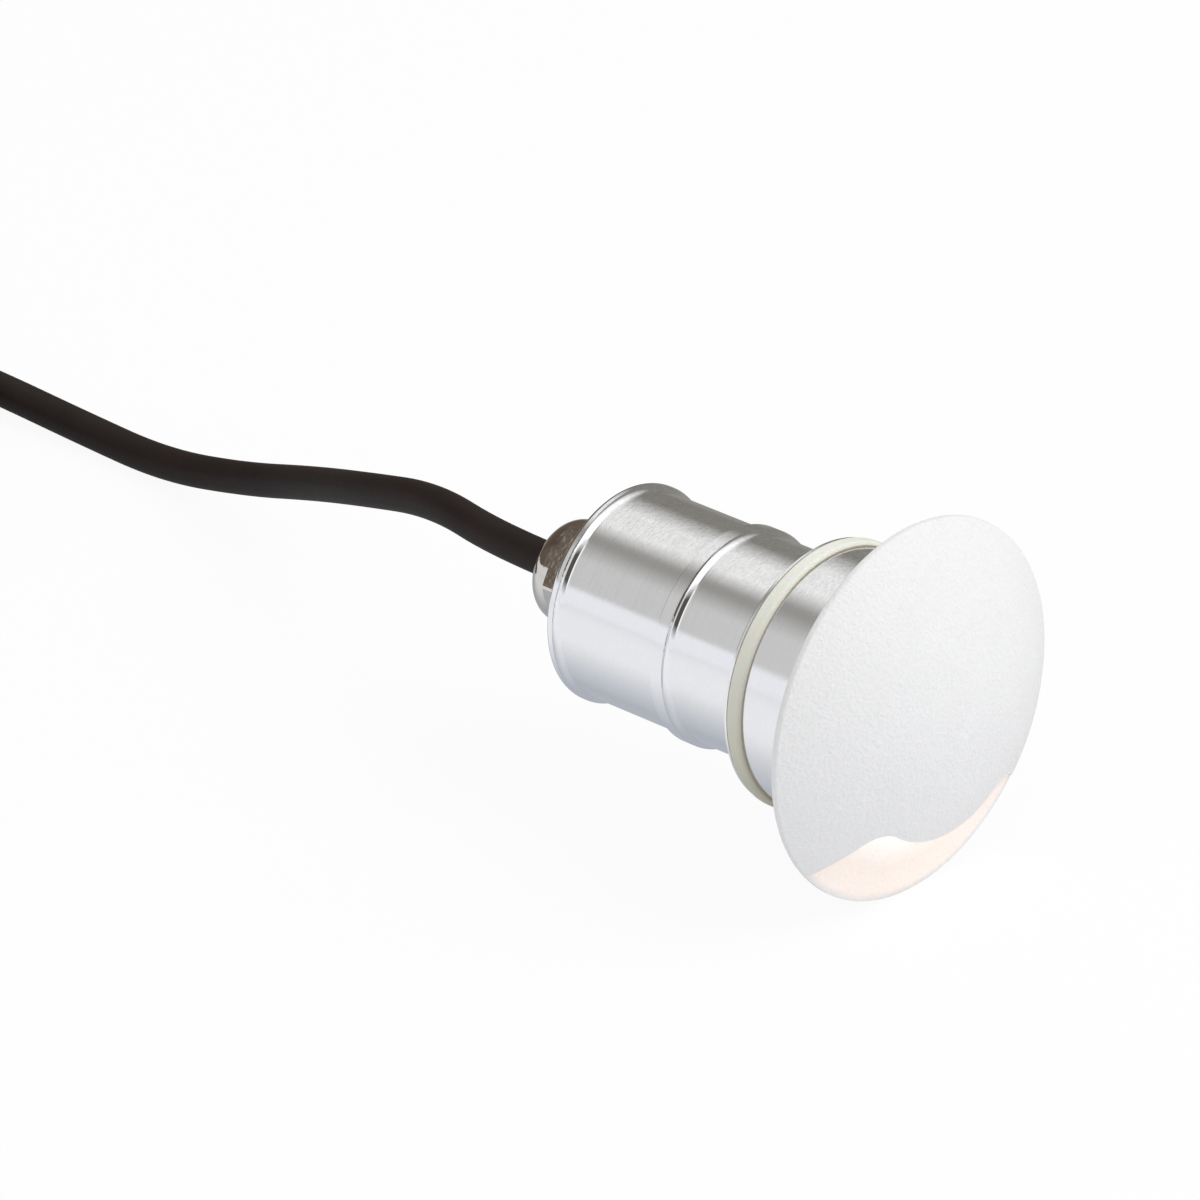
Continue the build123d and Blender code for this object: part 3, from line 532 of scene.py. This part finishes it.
class RECESSED_PG_finishes(bpy.types.PropertyGroup):
    """Colours of the light's surfaces"""

    paint: bpy.props.FloatVectorProperty(
        name="Paint",
        description="Powder coat of the face",
        subtype="COLOR",
        default=(0.86, 0.86, 0.865),
    )
    metal: bpy.props.FloatVectorProperty(
        name="Metal",
        description="Turned aluminium of the body",
        subtype="COLOR",
        default=(0.885, 0.89, 0.91),
    )
    silicone: bpy.props.FloatVectorProperty(
        name="Silicone",
        description="Ring that grips the wall",
        subtype="COLOR",
        default=(0.87, 0.875, 0.79),
    )
    # Painted shade on the ring's lower side
    silicone_foot_shade: bpy.props.FloatVectorProperty(
        name="Silicone foot",
        description="The ring's lower side",
        subtype="COLOR",
        default=(0.53, 0.51, 0.41),
    )
    # Painted shade lines in the gaps where the ring meets the metal
    silicone_edge_shade: bpy.props.FloatVectorProperty(
        name="Silicone edge",
        description="Lines where the ring meets the metal",
        subtype="COLOR",
        default=(0.5, 0.43, 0.33),
    )
    nickel: bpy.props.FloatVectorProperty(
        name="Nickel",
        description="Plating of the gland",
        subtype="COLOR",
        default=(0.72, 0.7, 0.66),
    )
    jacket: bpy.props.FloatVectorProperty(
        name="Jacket",
        description="Rubber of the lead",
        subtype="COLOR",
        default=(0.0225, 0.0155, 0.0138),
    )
    lamp: bpy.props.FloatVectorProperty(
        name="Lamp",
        description="Warm light from the slot",
        subtype="COLOR",
        default=(1.0, 0.82, 0.62),
    )
    lamp_strength: bpy.props.FloatProperty(
        name="Lamp strength",
        description="Brightness of the lit strip",
        default=1.0,
        min=0.0,
    )
    # Painted lamp light: the emission colours and strength that make the scoop's floor glow
    painted_light_near: bpy.props.FloatVectorProperty(
        name="Glow at the lip",
        description="Glow of the scoop's floor at its lip",
        subtype="COLOR",
        default=(0.34, 0.36, 0.32),
    )
    painted_light_far: bpy.props.FloatVectorProperty(
        name="Glow at the rim",
        description="Glow of the scoop's floor at the rim",
        subtype="COLOR",
        default=(0.22, 0.125, 0.062),
    )
    scoop_painted_light: bpy.props.FloatProperty(
        name="Scoop glow",
        description="Strength of the scoop's own glow",
        default=1.0,
        min=0.0,
    )


class RECESSED_PG_lead(bpy.types.PropertyGroup):
    """Sizes of the lead and its coil"""

    diameter: bpy.props.FloatProperty(
        name="Diameter",
        description="Across the jacket",
        unit="LENGTH",
        default=0.0042,
        min=0.001,
    )
    coil_radius: bpy.props.FloatProperty(
        name="Coil radius",
        description="Middle of the outermost turn",
        unit="LENGTH",
        default=0.0315,
        min=0.01,
    )
    coil_pitch: bpy.props.FloatProperty(
        name="Coil pitch",
        description="From one turn to the next",
        unit="LENGTH",
        default=0.0047,
        min=0.001,
    )
    tie_thickness: bpy.props.FloatProperty(
        name="Tie thickness",
        description="Of the coil's tie",
        unit="LENGTH",
        default=0.0008,
        min=0.0001,
    )
    tie_corner: bpy.props.FloatProperty(
        name="Tie corner",
        description="Bend radius of the tie",
        unit="LENGTH",
        default=0.0013,
        min=0.0001,
    )


class RECESSED_PG_thread(bpy.types.PropertyGroup):
    """Sizes of the thread on the gland's neck"""

    pitch: bpy.props.FloatProperty(
        name="Pitch",
        description="From one turn to the next",
        unit="LENGTH",
        default=0.0015,
        min=0.0001,
    )
    ridge: bpy.props.FloatProperty(
        name="Ridge",
        description="Half the height of the ridge, from its root",
        unit="LENGTH",
        default=0.00055,
        min=0.0001,
    )
    radius: bpy.props.FloatProperty(
        name="Radius",
        description="Middle of the ridge",
        unit="LENGTH",
        default=0.00485,
        min=0.001,
    )


class RECESSED_PG_studio(bpy.types.PropertyGroup):
    """Camera, lamps and floor"""

    azimuth: bpy.props.FloatProperty(
        name="Azimuth",
        description="Camera's turn about the vertical",
        subtype="ANGLE",
        default=radians(-46.656),
    )
    elevation: bpy.props.FloatProperty(
        name="Elevation",
        description="Camera's height angle",
        subtype="ANGLE",
        default=radians(25.907),
    )
    lens: bpy.props.FloatProperty(
        name="Lens",
        description="Focal length in millimetres",
        default=269.95,
        min=1.0,
    )
    floor: bpy.props.FloatVectorProperty(
        name="Floor",
        description="Colour of the floor",
        subtype="COLOR",
        default=(0.87, 0.875, 0.89),
    )
    fill: bpy.props.FloatProperty(
        name="Fill",
        description="Even light from all round",
        default=0.715,
        min=0.0,
    )
    key_power: bpy.props.FloatProperty(
        name="Key",
        description="Soft box above the face, in watts",
        default=3.6,
        min=0.0,
    )


class RECESSED_PG_light(bpy.types.PropertyGroup):
    """All settings of the light"""

    finishes: bpy.props.PointerProperty(type=RECESSED_PG_finishes)
    lead: bpy.props.PointerProperty(type=RECESSED_PG_lead)
    thread: bpy.props.PointerProperty(type=RECESSED_PG_thread)
    studio: bpy.props.PointerProperty(type=RECESSED_PG_studio)


# Lead


def lead_points(lead):
    """The route's points, then those of the coil's half turns about two centres half a pitch apart."""
    points = [Vector(point) for point in LEAD_ROUTE]
    x, line_y, level = points[-1]
    line_y += lead.diameter
    pitch = lead.coil_pitch
    half_pitch = pitch / 2
    climb_radius = lead.coil_radius - half_pitch * HALF_TURNS_IN
    turns = [(lead.coil_radius - half_pitch * turn, 0, 0) for turn in range(HALF_TURNS_IN)]
    turns.append((climb_radius, 0, pitch))
    turns += [(climb_radius + half_pitch * (turn + 1), pitch, pitch) for turn in range(HALF_TURNS_OUT)]
    heading = 1
    step = pi / HALF_TURN_POINTS
    for radius, start_rise, end_rise in turns:
        centre = x - heading * radius
        reach = heading * radius / cos(step / 2)
        for index in range(HALF_TURN_POINTS):
            share = (index + 0.5) / HALF_TURN_POINTS
            rise = start_rise + (end_rise - start_rise) * share
            angle = share * pi
            place = (centre + reach * cos(angle), line_y + reach * sin(angle), level + rise)
            points.append(Vector(place))
        x -= 2 * heading * radius
        heading = -heading
    points.append(Vector((x, line_y + heading * lead.diameter, level + pitch)))
    return points


def tie_line(thickness):
    """The closed line in the middle of the tie's band."""
    near, far = TIE_LOW.y + thickness / 2, TIE_HIGH.y - thickness / 2
    low, high = TIE_LOW.z + thickness / 2, TIE_HIGH.z - thickness / 2
    corners = [
        (far, low),
        (near, low),
        (near, TIE_SLOPE_START),
        (near + TIE_SLOPE_REACH, high),
        (far, high),
    ]
    line = bpy.data.meshes.new("tie_line")
    edges = [(index, (index + 1) % len(corners)) for index in range(len(corners))]
    line.from_pydata([(TIE_MIDDLE, y, z) for y, z in corners], edges, [])
    return line


class RECESSED_OT_tie(bpy.types.Operator):
    """Bends the tie round the coil"""

    bl_idname = "recessed_light.tie"
    bl_label = "Tie"

    def execute(self, context):
        lead = options(context).lead
        head_middle = (TIE_LOW.y + TIE_SLOPE_REACH + TIE_HIGH.y) / 2
        head_level = TIE_HIGH.z - lead.tie_thickness + TIE_HEAD_HEIGHT / 2
        head_near = head_middle - TIE_HEAD_LENGTH / 2
        head_far = head_middle + TIE_HEAD_LENGTH / 2
        tail_end = (TIE_MIDDLE, head_near - TIE_TAIL_LENGTH, head_level + TIE_TAIL_RISE)

        def strip(graph, sizes, corner, line):
            edges = graph.add("GeometryNodeCurvePrimitiveQuadrilateral", sockets=sizes)
            sockets = {"Curve": edges, "Count": 3, "Radius": corner, "Limit Radius": True}
            profile = graph.add("GeometryNodeFilletCurve", {"mode": "POLY"}, sockets)
            sockets = {"Curve": line, "Profile Curve": profile, "Fill Caps": True}
            return graph.add("GeometryNodeCurveToMesh", sockets=sockets)

        def build(graph, start):
            width = start.out("Width")
            thickness = start.out("Thickness")
            bare = graph.add("GeometryNodeMeshToCurve", sockets={"Mesh": start.out("Base")})
            sockets = {"Curve": bare, "Count": 6, "Radius": start.out("Corner"), "Limit Radius": True}
            round_line = graph.add("GeometryNodeFilletCurve", {"mode": "POLY"}, sockets)
            ends = {
                "Start": (TIE_MIDDLE, head_near, head_level),
                "End": (TIE_MIDDLE, head_far, head_level),
            }
            head_line = graph.add("GeometryNodeCurvePrimitiveLine", sockets=ends)
            ends = {"Start": (TIE_MIDDLE, head_middle, head_level), "End": tail_end}
            tail_line = graph.add("GeometryNodeCurvePrimitiveLine", sockets=ends)
            band = {"Width": width, "Height": thickness}
            head = {"Width": width * TIE_HEAD_WIDENING, "Height": start.out("Head height")}
            edge = thickness * TIE_EDGE_SHARE
            pieces = [
                strip(graph, band, edge, round_line),
                strip(graph, head, thickness, head_line),
                strip(graph, band, edge, tail_line),
            ]
            return graph.add("GeometryNodeJoinGeometry", sockets={"Geometry": pieces})

        sizes = {
            "Width": TIE_HIGH.x - TIE_LOW.x,
            "Thickness": lead.tie_thickness,
            "Corner": lead.tie_corner,
            "Head height": TIE_HEAD_HEIGHT,
        }
        line = tie_line(lead.tie_thickness)
        piece = grow(context, "coil_tie_band", sizes, black_plastic(), build, line)
        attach(piece, "housing")
        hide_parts("coil_tie")
        return {"FINISHED"}


class RECESSED_OT_lead(bpy.types.Operator):
    """Lays the lead from the gland to its coil"""

    bl_idname = "recessed_light.lead"
    bl_label = "Lead"

    def execute(self, context):
        lead = options(context).lead
        rubber = jacket(options(context).finishes)
        points = lead_points(lead)
        curve = bpy.data.curves.new("lead", "CURVE")
        curve.dimensions = "3D"
        spline = curve.splines.new("NURBS")
        spline.points.add(len(points) - 1)
        for control, point in zip(spline.points, points):
            control.co = (*point, 1.0)
        spline.order_u = 3
        spline.use_endpoint_u = True
        spline.use_smooth = True
        curve.resolution_u = 10
        curve.bevel_depth = lead.diameter / 2
        curve.bevel_resolution = 7
        curve.use_fill_caps = True
        curve.materials.append(rubber)
        piece = bpy.data.objects.new("lead", curve)
        context.scene.collection.objects.link(piece)
        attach(piece, "housing")
        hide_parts("cable", "cable_coil")
        on_lead = [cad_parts[name] for name in ("core_black", "core_red", "ferrules")]
        on_lead.append(bpy.data.objects["coil_tie_band"])
        dress(rubber, "cable_entry")
        return {"FINISHED"}


# Finishes of the CAD pieces


class RECESSED_OT_face(bpy.types.Operator):
    """Paints the face and lights its scoop"""

    bl_idname = "recessed_light.face"
    bl_label = "Face"

    def execute(self, context):
        finishes = options(context).finishes
        dress(powder_coat_with_painted_light(finishes), "face_cover")
        dress(opal(finishes), "diffuser")
        silver = (0.9, 0.9, 0.9)
        mirror = moulded("mirror_plastic", silver, roughness=0.1, scale=900.0, depth=0.002, metallic=1.0)
        dress(mirror, "reflector")
        return {"FINISHED"}


class RECESSED_OT_body(bpy.types.Operator):
    """Turns the collar, the barrels and the lamp's carrier"""

    bl_idname = "recessed_light.body"
    bl_label = "Body"

    def execute(self, context):
        metal = turned_aluminium(options(context).finishes)
        dress(metal, "collar", "front_barrel", "rear_barrel", "led_carrier")
        return {"FINISHED"}


class RECESSED_OT_seals(bpy.types.Operator):
    """Finishes the silicone ring and the rubber seals"""

    bl_idname = "recessed_light.seals"
    bl_label = "Seals"

    def execute(self, context):
        dress(silicone(options(context).finishes), "wall_seal_ring")
        rubber = moulded("black_rubber", (0.02, 0.02, 0.02), roughness=0.6, scale=1800.0, depth=0.02)
        dress(rubber, "collar_o_ring", "barrel_o_ring", "cover_gasket", "window_seal")
        dress(rubber, "gland_seal", "gland_washer")
        return {"FINISHED"}


class RECESSED_OT_gland(bpy.types.Operator):
    """Plates the gland, cuts its thread and moulds its claw"""

    bl_idname = "recessed_light.gland"
    bl_label = "Gland"

    def execute(self, context):
        plate = nickel(options(context).finishes)
        thread = options(context).thread

        def build(graph, start):
            length = start.out("Length")
            radius = start.out("Radius")
            sockets = {"Resolution": 48, "Rotations": length / start.out("Pitch"), "Height": length}
            sockets.update({"Start Radius": radius, "End Radius": radius})
            helix = graph.add("GeometryNodeCurveSpiral", sockets=sockets)
            level = graph.add("GeometryNodeSetCurveNormal", {"mode": "Z_UP"}, {"Curve": helix})
            sockets = {"Resolution": 4, "Radius": start.out("Ridge")}
            profile = graph.add("GeometryNodeCurvePrimitiveCircle", sockets=sockets)
            sockets = {"Curve": level, "Profile Curve": profile, "Fill Caps": True}
            ridge = graph.add("GeometryNodeCurveToMesh", sockets=sockets)
            sockets = {"Translation": (0.0, THREAD_START, 0.0), "Rotation": (-pi / 2, 0.0, 0.0)}
            return graph.add("GeometryNodeTransform", sockets={"Geometry": ridge, **sockets})

        sizes = {
            "Length": THREAD_END - THREAD_START,
            "Pitch": thread.pitch,
            "Radius": thread.radius,
            "Ridge": thread.ridge,
        }
        piece = grow(context, "gland_neck_thread", sizes, plate, build)
        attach(piece, "housing")
        dress(plate, "gland_body", "gland_nut")
        dress(moulded("white_plastic", (0.78, 0.77, 0.73)), "gland_claw", "pin_sleeves")
        return {"FINISHED"}


class RECESSED_OT_lamp(bpy.types.Operator):
    """Finishes the lamp board, its emitter and its window"""

    bl_idname = "recessed_light.lamp"
    bl_label = "Lamp"

    def execute(self, context):
        dress(clear_glass(), "window", "led_lens")
        board = moulded("white_board", (0.82, 0.82, 0.8), roughness=0.4, scale=2000.0, depth=0.004)
        dress(board, "led_board")
        ceramic = moulded("ceramic", (0.85, 0.78, 0.45), roughness=0.45, scale=2500.0, depth=0.004)
        dress(ceramic, "led_emitter")
        pad = moulded("thermal_pad", (0.5, 0.51, 0.55), roughness=0.7, scale=2500.0, depth=0.02)
        dress(pad, "thermal_pad")
        grey = (0.6, 0.6, 0.6)
        steel = moulded("screw_steel", grey, roughness=0.3, scale=3000.0, depth=0.004, metallic=1.0)
        dress(steel, "board_screws")
        tin = (0.74, 0.72, 0.68)
        tinned = moulded("tinned_copper", tin, roughness=0.28, scale=2200.0, depth=0.004, metallic=1.0)
        dress(tinned, "feed_pins", "ferrules")
        return {"FINISHED"}


class RECESSED_OT_driver(bpy.types.Operator):
    """Finishes the driver, its components and the wires"""

    bl_idname = "recessed_light.driver"
    bl_label = "Driver"

    def execute(self, context):
        components = moulded("component_black", (0.05, 0.05, 0.05), roughness=0.45)
        dress(components, "driver_inductor", "driver_rectifier", "driver_controller")
        board = moulded("green_board", (0.04, 0.2, 0.09), roughness=0.35, scale=2000.0, depth=0.004)
        dress(board, "driver_board")
        can = moulded("capacitor_can", (0.55, 0.55, 0.58), roughness=0.3, depth=0.004, metallic=1.0)
        dress(can, "driver_capacitors")
        dress(black_plastic(), "driver_tray")
        black = moulded("wire_black", (0.02, 0.02, 0.02), roughness=0.4)
        dress(black, "core_black", "lamp_wire_black", "supply_wire_black")
        red = moulded("wire_red", (0.42, 0.02, 0.02), roughness=0.4)
        dress(red, "core_red", "lamp_wire_red", "supply_wire_red")
        return {"FINISHED"}


# Studio

WHITE = (0.9, 0.905, 0.93)
BRIGHT = (1.25, 1.25, 1.25)
PALE = (1.08, 1.08, 1.05)
SILVER = (0.98, 0.98, 0.95)
STREAK = (0.34, 0.33, 0.31)
MIDDLE = (0.63, 0.63, 0.615)
LIGHT = (0.75, 0.75, 0.73)
# The cool grey below is a painted shadow that metal and glass see on the floor under the light
COOL_PAINTED_SHADOW = (0.46, 0.49, 0.54)
GREY = (0.27, 0.26, 0.235)
BROWN = (0.155, 0.118, 0.092)
DARK = (0.11, 0.086, 0.07)
BLACK = (0.09, 0.086, 0.08)

# Strips along the light's axis, by where each colour stands in degrees round it, from -X towards +Z
FLOOR_STRIPS = ((-180, GREY), (-20, WHITE))
NOSE_STRIPS = ((17, WHITE), (20, LIGHT), (60, LIGHT), (68, BRIGHT), (120, BRIGHT), (150, GREY))
FRONT_STRIPS = ((8, WHITE), (22, BLACK), (50, BLACK), (70, BRIGHT), (120, BRIGHT), (150, GREY))
SIDE_STRIPS = (
    (17, WHITE),
    (18, PALE),
    (58, PALE),
    (67, STREAK),
    (76, STREAK),
    (92, SILVER),
    (118, SILVER),
    (146, GREY),
)
PLAIN_STRIPS = (
    (17, WHITE),
    (18, MIDDLE),
    (48, MIDDLE),
    (68, STREAK),
    (75, STREAK),
    (93, SILVER),
    (118, SILVER),
    (146, GREY),
)
REAR_STRIPS = ((17, WHITE), (18, BROWN), (60, BROWN), (75, DARK), (150, BROWN))

# From where to where, along the light's axis, each next set of strips takes over
STRIP_ZONES = (
    (-0.85, -0.75, FRONT_STRIPS),
    (0.08, 0.16, SIDE_STRIPS),
    (0.36, 0.44, PLAIN_STRIPS),
    (0.585, 0.615, REAR_STRIPS),
)

# The floor, how much of its shade is taken out where it is seen and where metal or glass mirrors it,
# and where its mirrored colour turns to a cool painted shadow under the light and to a grey painted
# shade beyond it
FLOOR_LEVEL = FACE_LOW.z
FLOOR_HALF = 2.5
FLOOR_WHITENESS = 0.93
MIRRORED_WHITENESS = 0.45
UNDER_START = -1.8 * FACE_RADIUS
UNDER_FULL = -0.35 * FACE_RADIUS
BEYOND_FULL = 2.0 * FACE_RADIUS

# The key lamp, and the photograph's camera
KEY_PLACE = (0.27, -0.5, 0.68)
KEY_TARGET = (0.0, 0.0, 0.0)
KEY_SIZE = 0.6
CAMERA_PLACE = (-0.67392, -0.58928, 0.44776)
SENSOR_WIDTH = 36.0
NEAR_CLIP = 0.01


def strip_colour(graph, turn, strips):
    """The colour of one set of strips at a share of a turn round the axis."""
    stops = [((angle + 180) / 360, colour) for angle, colour in FLOOR_STRIPS + strips]
    return graph.add("ShaderNodeValToRGB", {"stops": stops}, {"Fac": turn})


def mirror_rays(rays):
    """1 for rays from metal and glass, 0 for all others."""
    mirrored = rays.out("Is Glossy Ray") + rays.out("Is Transmission Ray")
    return rays.graph.math("MINIMUM", mirrored, 1.0)


def build_world(studio):
    """White to the camera, an even fill, and strips from front to back for metal to mirror."""
    world = bpy.data.worlds.new("studio")
    world.use_nodes = True
    graph = Graph(world.node_tree)
    direction = graph.add("ShaderNodeTexCoord", output="Generated")
    x, y, z = graph.axes(direction)
    turn = graph.math("ARCTAN2", z, 0.0 - x) / (2 * pi) + 0.5
    strips = strip_colour(graph, turn, NOSE_STRIPS)
    for start, end, zone in STRIP_ZONES:
        strips = graph.mix(graph.limit(y, start, end), strips, strip_colour(graph, turn, zone))
    rays = graph.add("ShaderNodeLightPath", output="Is Camera Ray")
    fill = (studio.fill, studio.fill, studio.fill, 1.0)
    light = graph.mix(mirror_rays(rays), fill, strips)
    colour = graph.mix(rays, light, PLAIN_WHITE)
    background = graph.add("ShaderNodeBackground", sockets={"Color": colour, "Strength": 1.0})
    graph.add("ShaderNodeOutputWorld", sockets={"Surface": background})
    return world


def build_floor(studio):
    """A pale floor that looks white and keeps a faint shadow; metal mirrors it with a cool painted
    shadow under the light and a grey painted shade beyond it.
    """
    mesh = bpy.data.meshes.new("floor")
    half = FLOOR_HALF
    corners = [(-half, -half), (half, -half), (half, half), (-half, half)]
    mesh.from_pydata([(x, y, FLOOR_LEVEL) for x, y in corners], [], [(0, 1, 2, 3)])
    floor = bpy.data.objects.new("floor", mesh)

    def build(graph):
        point = graph.place()
        x, _, _ = graph.axes(point)
        paper = graph.noise(point, scale=40.0)
        colour = graph.mix(paper, shade(studio.floor, share=0.99), rgba(studio.floor))
        diffuse = graph.add("ShaderNodeBsdfDiffuse", sockets={"Color": colour})
        rays = graph.add("ShaderNodeLightPath", output="Is Camera Ray")
        mirrored = mirror_rays(rays)
        # Painted shadow and shade: metal and glass see the floor cool under the light and grey beyond it
        under = graph.limit(x, UNDER_START, UNDER_FULL)
        beyond = graph.limit(x, 0.0, BEYOND_FULL)
        mirrored_painted_shade = graph.mix(beyond, rgba(COOL_PAINTED_SHADOW), rgba(GREY))
        painted_light_and_shade = graph.mix(mirrored * under, PLAIN_WHITE, mirrored_painted_shade)
        emission = graph.add("ShaderNodeEmission", sockets={"Color": painted_light_and_shade, "Strength": 1.0})
        mirrored_share = MIRRORED_WHITENESS + (FLOOR_WHITENESS - MIRRORED_WHITENESS) * under
        share = rays * FLOOR_WHITENESS + mirrored * mirrored_share
        surface = graph.add("ShaderNodeMixShader", sockets={0: share, 1: diffuse, 2: emission})
        graph.add("ShaderNodeOutputMaterial", sockets={"Surface": surface})

    mesh.materials.append(finish("studio_floor_painted_shadow", build))
    return floor


def build_key(studio):
    """A soft box above the face that metal doesn't mirror."""
    lamp = bpy.data.lights.new("key", "AREA")
    lamp.shape = "SQUARE"
    lamp.size = KEY_SIZE
    lamp.energy = studio.key_power
    key = bpy.data.objects.new("key", lamp)
    key.location = KEY_PLACE
    aim = Vector(KEY_TARGET) - Vector(KEY_PLACE)
    key.rotation_euler = aim.to_track_quat("-Z", "Y").to_euler()
    key.visible_glossy = False
    return key


def build_camera(studio):
    """The photograph's view."""
    camera = bpy.data.cameras.new("camera")
    camera.lens = studio.lens
    camera.sensor_width = SENSOR_WIDTH
    camera.clip_start = NEAR_CLIP
    view = bpy.data.objects.new("camera", camera)
    turn, lift = studio.azimuth, studio.elevation
    right = Vector((cos(turn), sin(turn), 0.0))
    back = Vector((sin(turn) * cos(lift), -cos(turn) * cos(lift), sin(lift)))
    up = back.cross(right)
    turned = Matrix((right, up, back)).transposed().to_4x4()
    view.matrix_world = Matrix.Translation(CAMERA_PLACE) @ turned
    return view


class RECESSED_OT_stage(bpy.types.Operator):
    """Sets up the camera, the floor, the lamp and the background"""

    bl_idname = "recessed_light.stage"
    bl_label = "Stage"

    def execute(self, context):
        studio = options(context).studio
        scene = context.scene
        scene.view_settings.view_transform = "Standard"
        scene.world = build_world(studio)
        floor = build_floor(studio)
        camera = build_camera(studio)
        key = build_key(studio)
        for thing in (floor, camera, key):
            scene.collection.objects.link(thing)
        scene.camera = camera
        return {"FINISHED"}


class RECESSED_PT_sidebar(bpy.types.Panel):
    """Settings and steps of the recessed light"""

    bl_label = "Recessed light"
    bl_idname = "RECESSED_PT_sidebar"
    bl_space_type = "VIEW_3D"
    bl_region_type = "UI"
    bl_category = "Recessed light"

    def draw(self, context):
        layout = self.layout
        light = options(context)
        for group in (light.finishes, light.lead, light.thread, light.studio):
            box = layout.box()
            for name in group.__annotations__:
                box.prop(group, name)
        for step in STEPS:
            layout.operator(step.bl_idname)


STEPS = (
    RECESSED_OT_stage,
    RECESSED_OT_tie,
    RECESSED_OT_lead,
    RECESSED_OT_face,
    RECESSED_OT_body,
    RECESSED_OT_seals,
    RECESSED_OT_gland,
    RECESSED_OT_lamp,
    RECESSED_OT_driver,
)
CLASSES = (
    RECESSED_PG_finishes,
    RECESSED_PG_lead,
    RECESSED_PG_thread,
    RECESSED_PG_studio,
    RECESSED_PG_light,
    *STEPS,
    RECESSED_PT_sidebar,
)


def register():
    for made in CLASSES:
        bpy.utils.register_class(made)
    bpy.types.Scene.recessed_light = bpy.props.PointerProperty(type=RECESSED_PG_light)


def unregister():
    del bpy.types.Scene.recessed_light
    for made in reversed(CLASSES):
        bpy.utils.unregister_class(made)


def main():
    register()
    bpy.ops.recessed_light.stage()
    bpy.ops.recessed_light.tie()
    bpy.ops.recessed_light.lead()
    bpy.ops.recessed_light.face()
    bpy.ops.recessed_light.body()
    bpy.ops.recessed_light.seals()
    bpy.ops.recessed_light.gland()
    bpy.ops.recessed_light.lamp()
    bpy.ops.recessed_light.driver()


if __name__ == "__main__":
    main()
